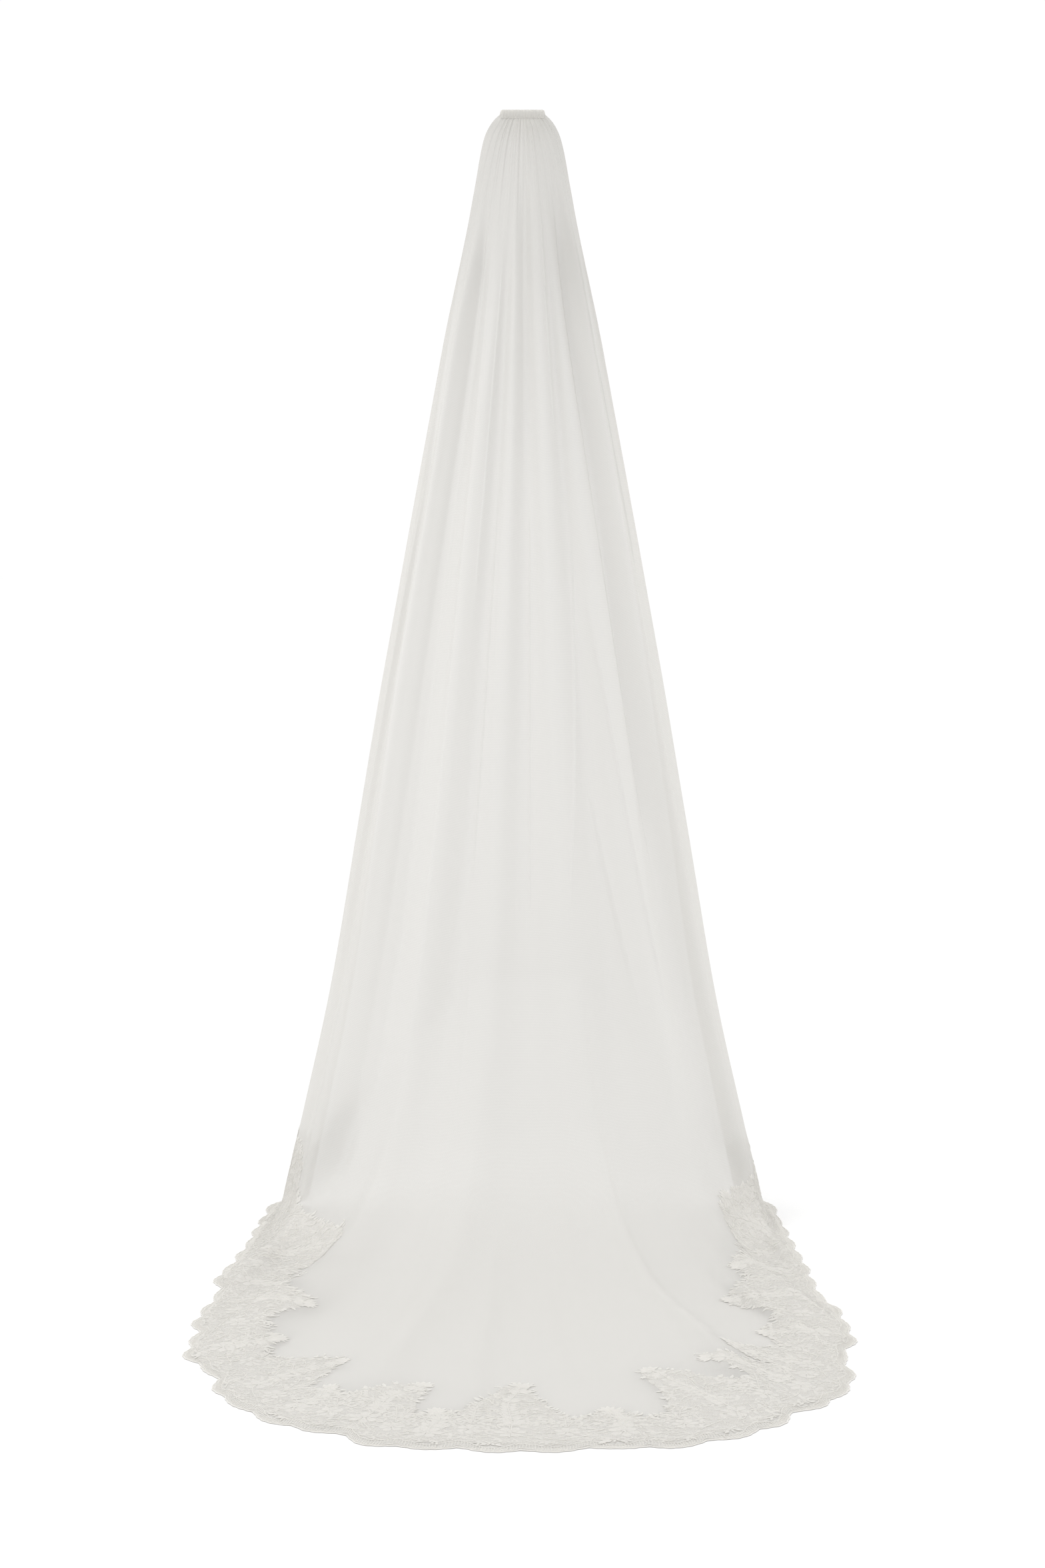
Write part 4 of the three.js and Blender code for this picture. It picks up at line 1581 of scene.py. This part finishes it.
    def build(self) -> list[bpy.types.Object]:
        """Make every piece of the border."""
        self.design()
        ground = self.build_ground()
        flowers = self.build_motifs("lace_flowers", (Motif.ROSE, Motif.STAR, Motif.SPECK))
        leaves = self.build_motifs("lace_leaves", (Motif.LEAF, Motif.SLIP))
        cords = self.build_cords()
        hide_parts("lace_border")
        return [ground, flowers, leaves, cords]


@dataclass
class Binding:
    """Strip of tulle folded over the gathered top edge and stitched through."""

    drape: Drape
    half: float = 0.035
    drop: float = 0.013
    wall: float = 0.0012
    slot: float = 0.0026
    corner: float = 0.005
    columns: int = 260
    pleat: float = 0.0009
    stitches: int = 22
    fullness: float = 1.6
    # Thread colour of the strip, and the painted shade in the grooves between its rows.
    groove_shade_colour: tuple = (0.740, 0.730, 0.705, 1.0)
    light: tuple = (0.790, 0.780, 0.753, 1.0)
    thread_row: float = 0.0012

    @property
    def reach(self) -> float:
        """Half the distance between the strip's two sides."""
        return self.slot + self.wall / 2

    def pleats(self, x: Array) -> Array:
        """Uneven gathers of the strip, from 0 in a crease to 1 on a crown."""
        rng = np.random.default_rng(SEED + 3)
        edges = [-self.half - 0.002]
        while edges[-1] < self.half:
            edges.append(edges[-1] + rng.uniform(0.0026, 0.0058))
        edges = np.array(edges)
        cell = np.clip(np.searchsorted(edges, x, side="right") - 1, 0, len(edges) - 2)
        t = (x - edges[cell]) / (edges[cell + 1] - edges[cell])
        crown = rng.uniform(0.55, 1.0, len(edges))
        return crown[cell] * np.sin(np.pi * np.clip(t, 0, 1)) ** 0.6

    def surface(self, x: Array, out: float, up: float, lean: float) -> Array:
        """One line of the strip from end to end.

        Args:
            x: Places across the strip.
            out: -1 on the wearer's side, 1 on the outside.
            up: 0 at the lower edge, 1 where the fold begins.
            lean: Degrees that the strip has turned over the fold.

        Returns:
            Points of the line.
        """
        from_end = np.maximum(self.half - np.abs(x), 0.0)
        in_corner = np.maximum(0.0, self.corner - from_end)
        corner = self.corner - np.sqrt(np.maximum(self.corner**2 - in_corner**2, 0.0))
        straight = self.drop - self.reach - self.wall / 2 - corner
        pinch = np.sqrt(np.clip(from_end / 0.0022, 0.0, 1.0))
        share = np.clip(x / self.half, -1.0, 1.0)
        middle = self.drape.hanging_point(share, np.zeros_like(share))[..., 1]
        pleats = self.pleats(x + 0.0007 * math.sin(5 * up))
        outside = max(out, 0.0)
        bulge = self.pleat * pleats * outside * (0.45 + 0.55 * math.cos(math.pi * (up - 0.25)) ** 2)
        flare = 0.0007 * outside * (1 - up) ** 3
        y = middle - out * self.reach * pinch - bulge - flare
        crown = math.sin(math.radians(lean)) * self.reach
        z = self.drape.top_z - self.drop + straight * up + crown * pinch
        z = z - 0.0008 * pleats * outside * (1 - up) + 0.0003 * pleats * (lean > 0)
        return np.stack([x, y, z], axis=-1)

    def build_strip(self) -> bpy.types.Object:
        """Make the folded strip."""
        x = np.linspace(-self.half, self.half, self.columns + 1)
        lines = [self.surface(x, -1.0, up, 0.0) for up in np.linspace(0.0, 1.0, 8)]
        for lean in np.linspace(20, 160, 8):
            lines.append(self.surface(x, -math.cos(math.radians(lean)), 1.0, lean))
        lines += [self.surface(x, 1.0, up, 0.0) for up in np.linspace(1.0, 0.0, 16)]
        grid = np.stack(lines)
        down = lengths_along(grid[:, self.columns // 2])
        work = Patchwork()
        work.add_grid(grid, thread_map(x[None, :] * self.fullness, down[:, None]))
        finish = StitchFinish("binding", groove_shade_colour=self.groove_shade_colour, light=self.light, row=self.thread_row)
        return work.build("gathered_binding", finish.build())

    def build_stitches(self) -> bpy.types.Object:
        """Make the row of small stitches that holds the strip to the tulle."""
        work = Patchwork()
        pitch = 2 * (self.half - 0.004) / self.stitches
        for i in range(self.stitches):
            middle = -self.half + 0.004 + (i + 0.5) * pitch
            x = middle + np.linspace(-0.32, 0.32, 5) * pitch
            line = self.surface(x, 1.0, 0.28, 0.0)
            line[:, 1] -= 0.0003 + 0.00025 * np.array([0.0, 0.8, 1.0, 0.8, 0.0])
            turn = np.linspace(0, 2 * np.pi, 7)
            ring = 0.00028 * np.stack([np.zeros_like(turn), np.cos(turn), np.sin(turn)], axis=-1)
            swell = np.array([0.4, 0.9, 1.0, 0.9, 0.4])
            grid = line[:, None, :] + ring[None] * swell[:, None, None]
            work.add_grid(grid, thread_map(x[:, None], turn[None, :] * 0.0003), inside_out=True)
        return work.build("binding_stitches", StitchFinish("sewing thread").build())

    def build(self) -> list[bpy.types.Object]:
        """Make the strip and its stitches."""
        strip = self.build_strip()
        stitches = self.build_stitches()
        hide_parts("header_band")
        return [strip, stitches]


@dataclass
class Comb:
    """Moulded hair comb that carries the veil, and the thread that sews the binding to it."""

    half: float = 0.033
    thickness: float = 0.002
    spine: float = 0.006
    teeth: int = 13
    length: float = 0.038
    root: float = 0.0024
    tip: float = 0.0012
    edge: float = 0.0006
    thread: float = 0.00022

    @property
    def pitch(self) -> float:
        """Distance between two teeth."""
        return (2 * self.half - self.root) / (self.teeth - 1)

    def outline(self) -> Array:
        """Outline of the plate in X and Z."""
        chamfer = self.spine / 4
        points = []
        for i in range(self.teeth):
            middle = -self.half + self.root / 2 + i * self.pitch
            end = -self.spine / 2 - self.length
            points += [(middle - self.root / 2, -self.spine / 2), (middle - self.tip / 2, end + self.tip),
                       (middle, end), (middle + self.tip / 2, end + self.tip),
                       (middle + self.root / 2, -self.spine / 2)]
        points += [(self.half, self.spine / 2 - chamfer), (self.half - chamfer, self.spine / 2),
                   (-self.half + chamfer, self.spine / 2), (-self.half, self.spine / 2 - chamfer)]
        return np.array(points)

    def build_plate(self) -> bpy.types.Object:
        """Make the comb with rounded edges."""
        outline = self.outline()
        count = len(outline)
        y = np.repeat([-self.thickness / 2, self.thickness / 2], count)
        xz = np.tile(outline, (2, 1))
        points = np.stack([xz[:, 0], y, xz[:, 1]], axis=-1)
        faces = [tuple(range(count)), tuple(range(2 * count - 1, count - 1, -1))]
        faces += [(i + count, (i + 1) % count + count, (i + 1) % count, i) for i in range(count)]
        mesh = bpy.data.meshes.new("comb_moulded")
        mesh.from_pydata(points.tolist(), [], faces)
        mesh.materials.append(CombFinish().build())
        comb = put_in_scene("comb_moulded", mesh)
        round_off = comb.modifiers.new("rounded edges", "BEVEL")
        round_off.width = self.edge
        round_off.segments = 3
        round_off.limit_method = "ANGLE"
        round_off.angle_limit = math.radians(50)
        mesh.shade_smooth()
        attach(comb, "root")
        return comb

    def build_wraps(self) -> bpy.types.Object:
        """Make the turns of thread round the spine, one in each gap between two teeth."""
        work = Patchwork()
        turn = np.linspace(0, 2 * np.pi, 25)
        around = np.linspace(0, 2 * np.pi, 6)
        ring = np.stack([np.sin(around), np.cos(around)], axis=-1) * self.thread
        sideways = np.array([1.0, 0, 0]) * ring[None, :, :1]
        for i in range(self.teeth - 1):
            x = -self.half + self.root / 2 + (i + 0.5) * self.pitch
            for shift in (-0.0005, 0.0, 0.0005):
                middle = np.stack([np.full_like(turn, x + shift), -0.0008 + 0.0022 * np.cos(turn),
                                   0.0035 * np.sin(turn)], axis=-1)
                out = unit(middle - np.array([x + shift, -0.0008, 0.0]))
                grid = middle[:, None] + sideways + out[:, None] * ring[None, :, 1:]
                work.add_grid(grid, thread_map(turn[:, None] * 0.003, around[None] * 0.0002))
        return work.build("comb_wraps", StitchFinish("wrapping thread").build())

    def build(self) -> list[bpy.types.Object]:
        """Make the comb and its wraps."""
        plate = self.build_plate()
        wraps = self.build_wraps()
        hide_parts("comb")
        return [plate, wraps]


@dataclass
class Studio:
    """Plain pale floor, soft light and the camera at the photographed angle."""

    drape: Drape
    distance: float = 4.5
    height: float = 1.05
    tilt: float = 5.02
    focal_pixels: float = 4298.4
    image_height: int = 2352
    sensor: float = 36.0
    floor_size: float = 60.0
    floor_tone: float = 0.655
    surround: float = 1.01
    key_power: float = 13.0
    right_power: float = 8.0
    left_power: float = 5.2
    light_size: float = 1.2
    overhead: float = 1.75
    overhead_spread: float = 70.0

    def build_camera(self) -> None:
        """Place the camera."""
        data = bpy.data.cameras.new("camera")
        data.sensor_fit = "VERTICAL"
        data.sensor_height = self.sensor
        data.lens = self.focal_pixels / self.image_height * self.sensor
        data.clip_end = 100
        camera = put_in_scene("camera", data)
        camera.location = (0, -self.distance, self.drape.floor_z + self.height)
        camera.rotation_euler = (math.radians(90 - self.tilt), 0, 0)
        bpy.context.scene.camera = camera

    def build_floor(self) -> None:
        """Lay the floor."""
        size = self.floor_size
        mesh = bpy.data.meshes.new("floor")
        z = self.drape.floor_z - 0.0005
        corners = [(-size, -size, z), (size, -size, z), (size, size, z), (-size, size, z)]
        mesh.from_pydata(corners, [], [(0, 1, 2, 3)])
        floor = put_in_scene("floor", mesh)
        nodes = Nodes("pale floor")
        nodes.set_shader(Base_Color=(*[self.floor_tone] * 3, 1.0), Roughness=0.9, Specular_IOR_Level=0.1)
        mesh.materials.append(nodes.material)

    def area_light(self, name: str, place: Vector, aim: Vector, power: float) -> None:
        """Add one soft square light.

        Args:
            name: Its name.
            place: Where it stands.
            aim: Where it points.
            power: Watts.
        """
        data = bpy.data.lights.new(name, "AREA")
        data.shape = "SQUARE"
        data.size = self.light_size
        data.energy = power
        light = put_in_scene(name, data)
        light.location = place
        light.rotation_euler = (aim - place).to_track_quat("-Z", "Y").to_euler()

    def build_lights(self) -> None:
        """Set the even surround, the soft key light and the wide light from above."""
        world = bpy.data.worlds.new("studio")
        world.use_nodes = True
        world.node_tree.nodes["Background"].inputs[0].default_value = (1, 1, 1, 1)
        world.node_tree.nodes["Background"].inputs[1].default_value = self.surround
        bpy.context.scene.world = world
        middle = Vector((0, -0.2, -0.9))
        self.area_light("key", Vector((-1.9, -1.3, 0.8)), middle, self.key_power)
        for name, side, power in (("fill right", 1, self.right_power), ("fill left", -1, self.left_power)):
            self.area_light(name, Vector((2.4 * side, 0.5, -1.0)), Vector((0.3 * side, -0.3, -1.3)), power)
        sky = bpy.data.lights.new("overhead", "SUN")
        sky.energy = self.overhead
        sky.angle = math.radians(self.overhead_spread)
        put_in_scene("overhead", sky).location = (0, 0, 3)

    def build(self) -> None:
        """Build the whole studio."""
        self.build_camera()
        self.build_floor()
        self.build_lights()
        bpy.context.scene.view_settings.view_transform = "Standard"


def main() -> None:
    """Build the veil and its studio, and report each piece."""
    logging.basicConfig(level=logging.INFO)
    drape = Drape()
    Studio(drape).build()
    sheet = TulleSheet(drape)
    pieces = [sheet.build()]
    chart = HemChart(*sheet.grid(), drape)
    for maker in (LaceBorder(chart), Binding(drape), Comb()):
        pieces += maker.build()
    for piece in pieces:
        LOG.info("%s: %d vertices, %d faces", piece.name, len(piece.data.vertices), len(piece.data.polygons))


if __name__ == "__main__":
    main()
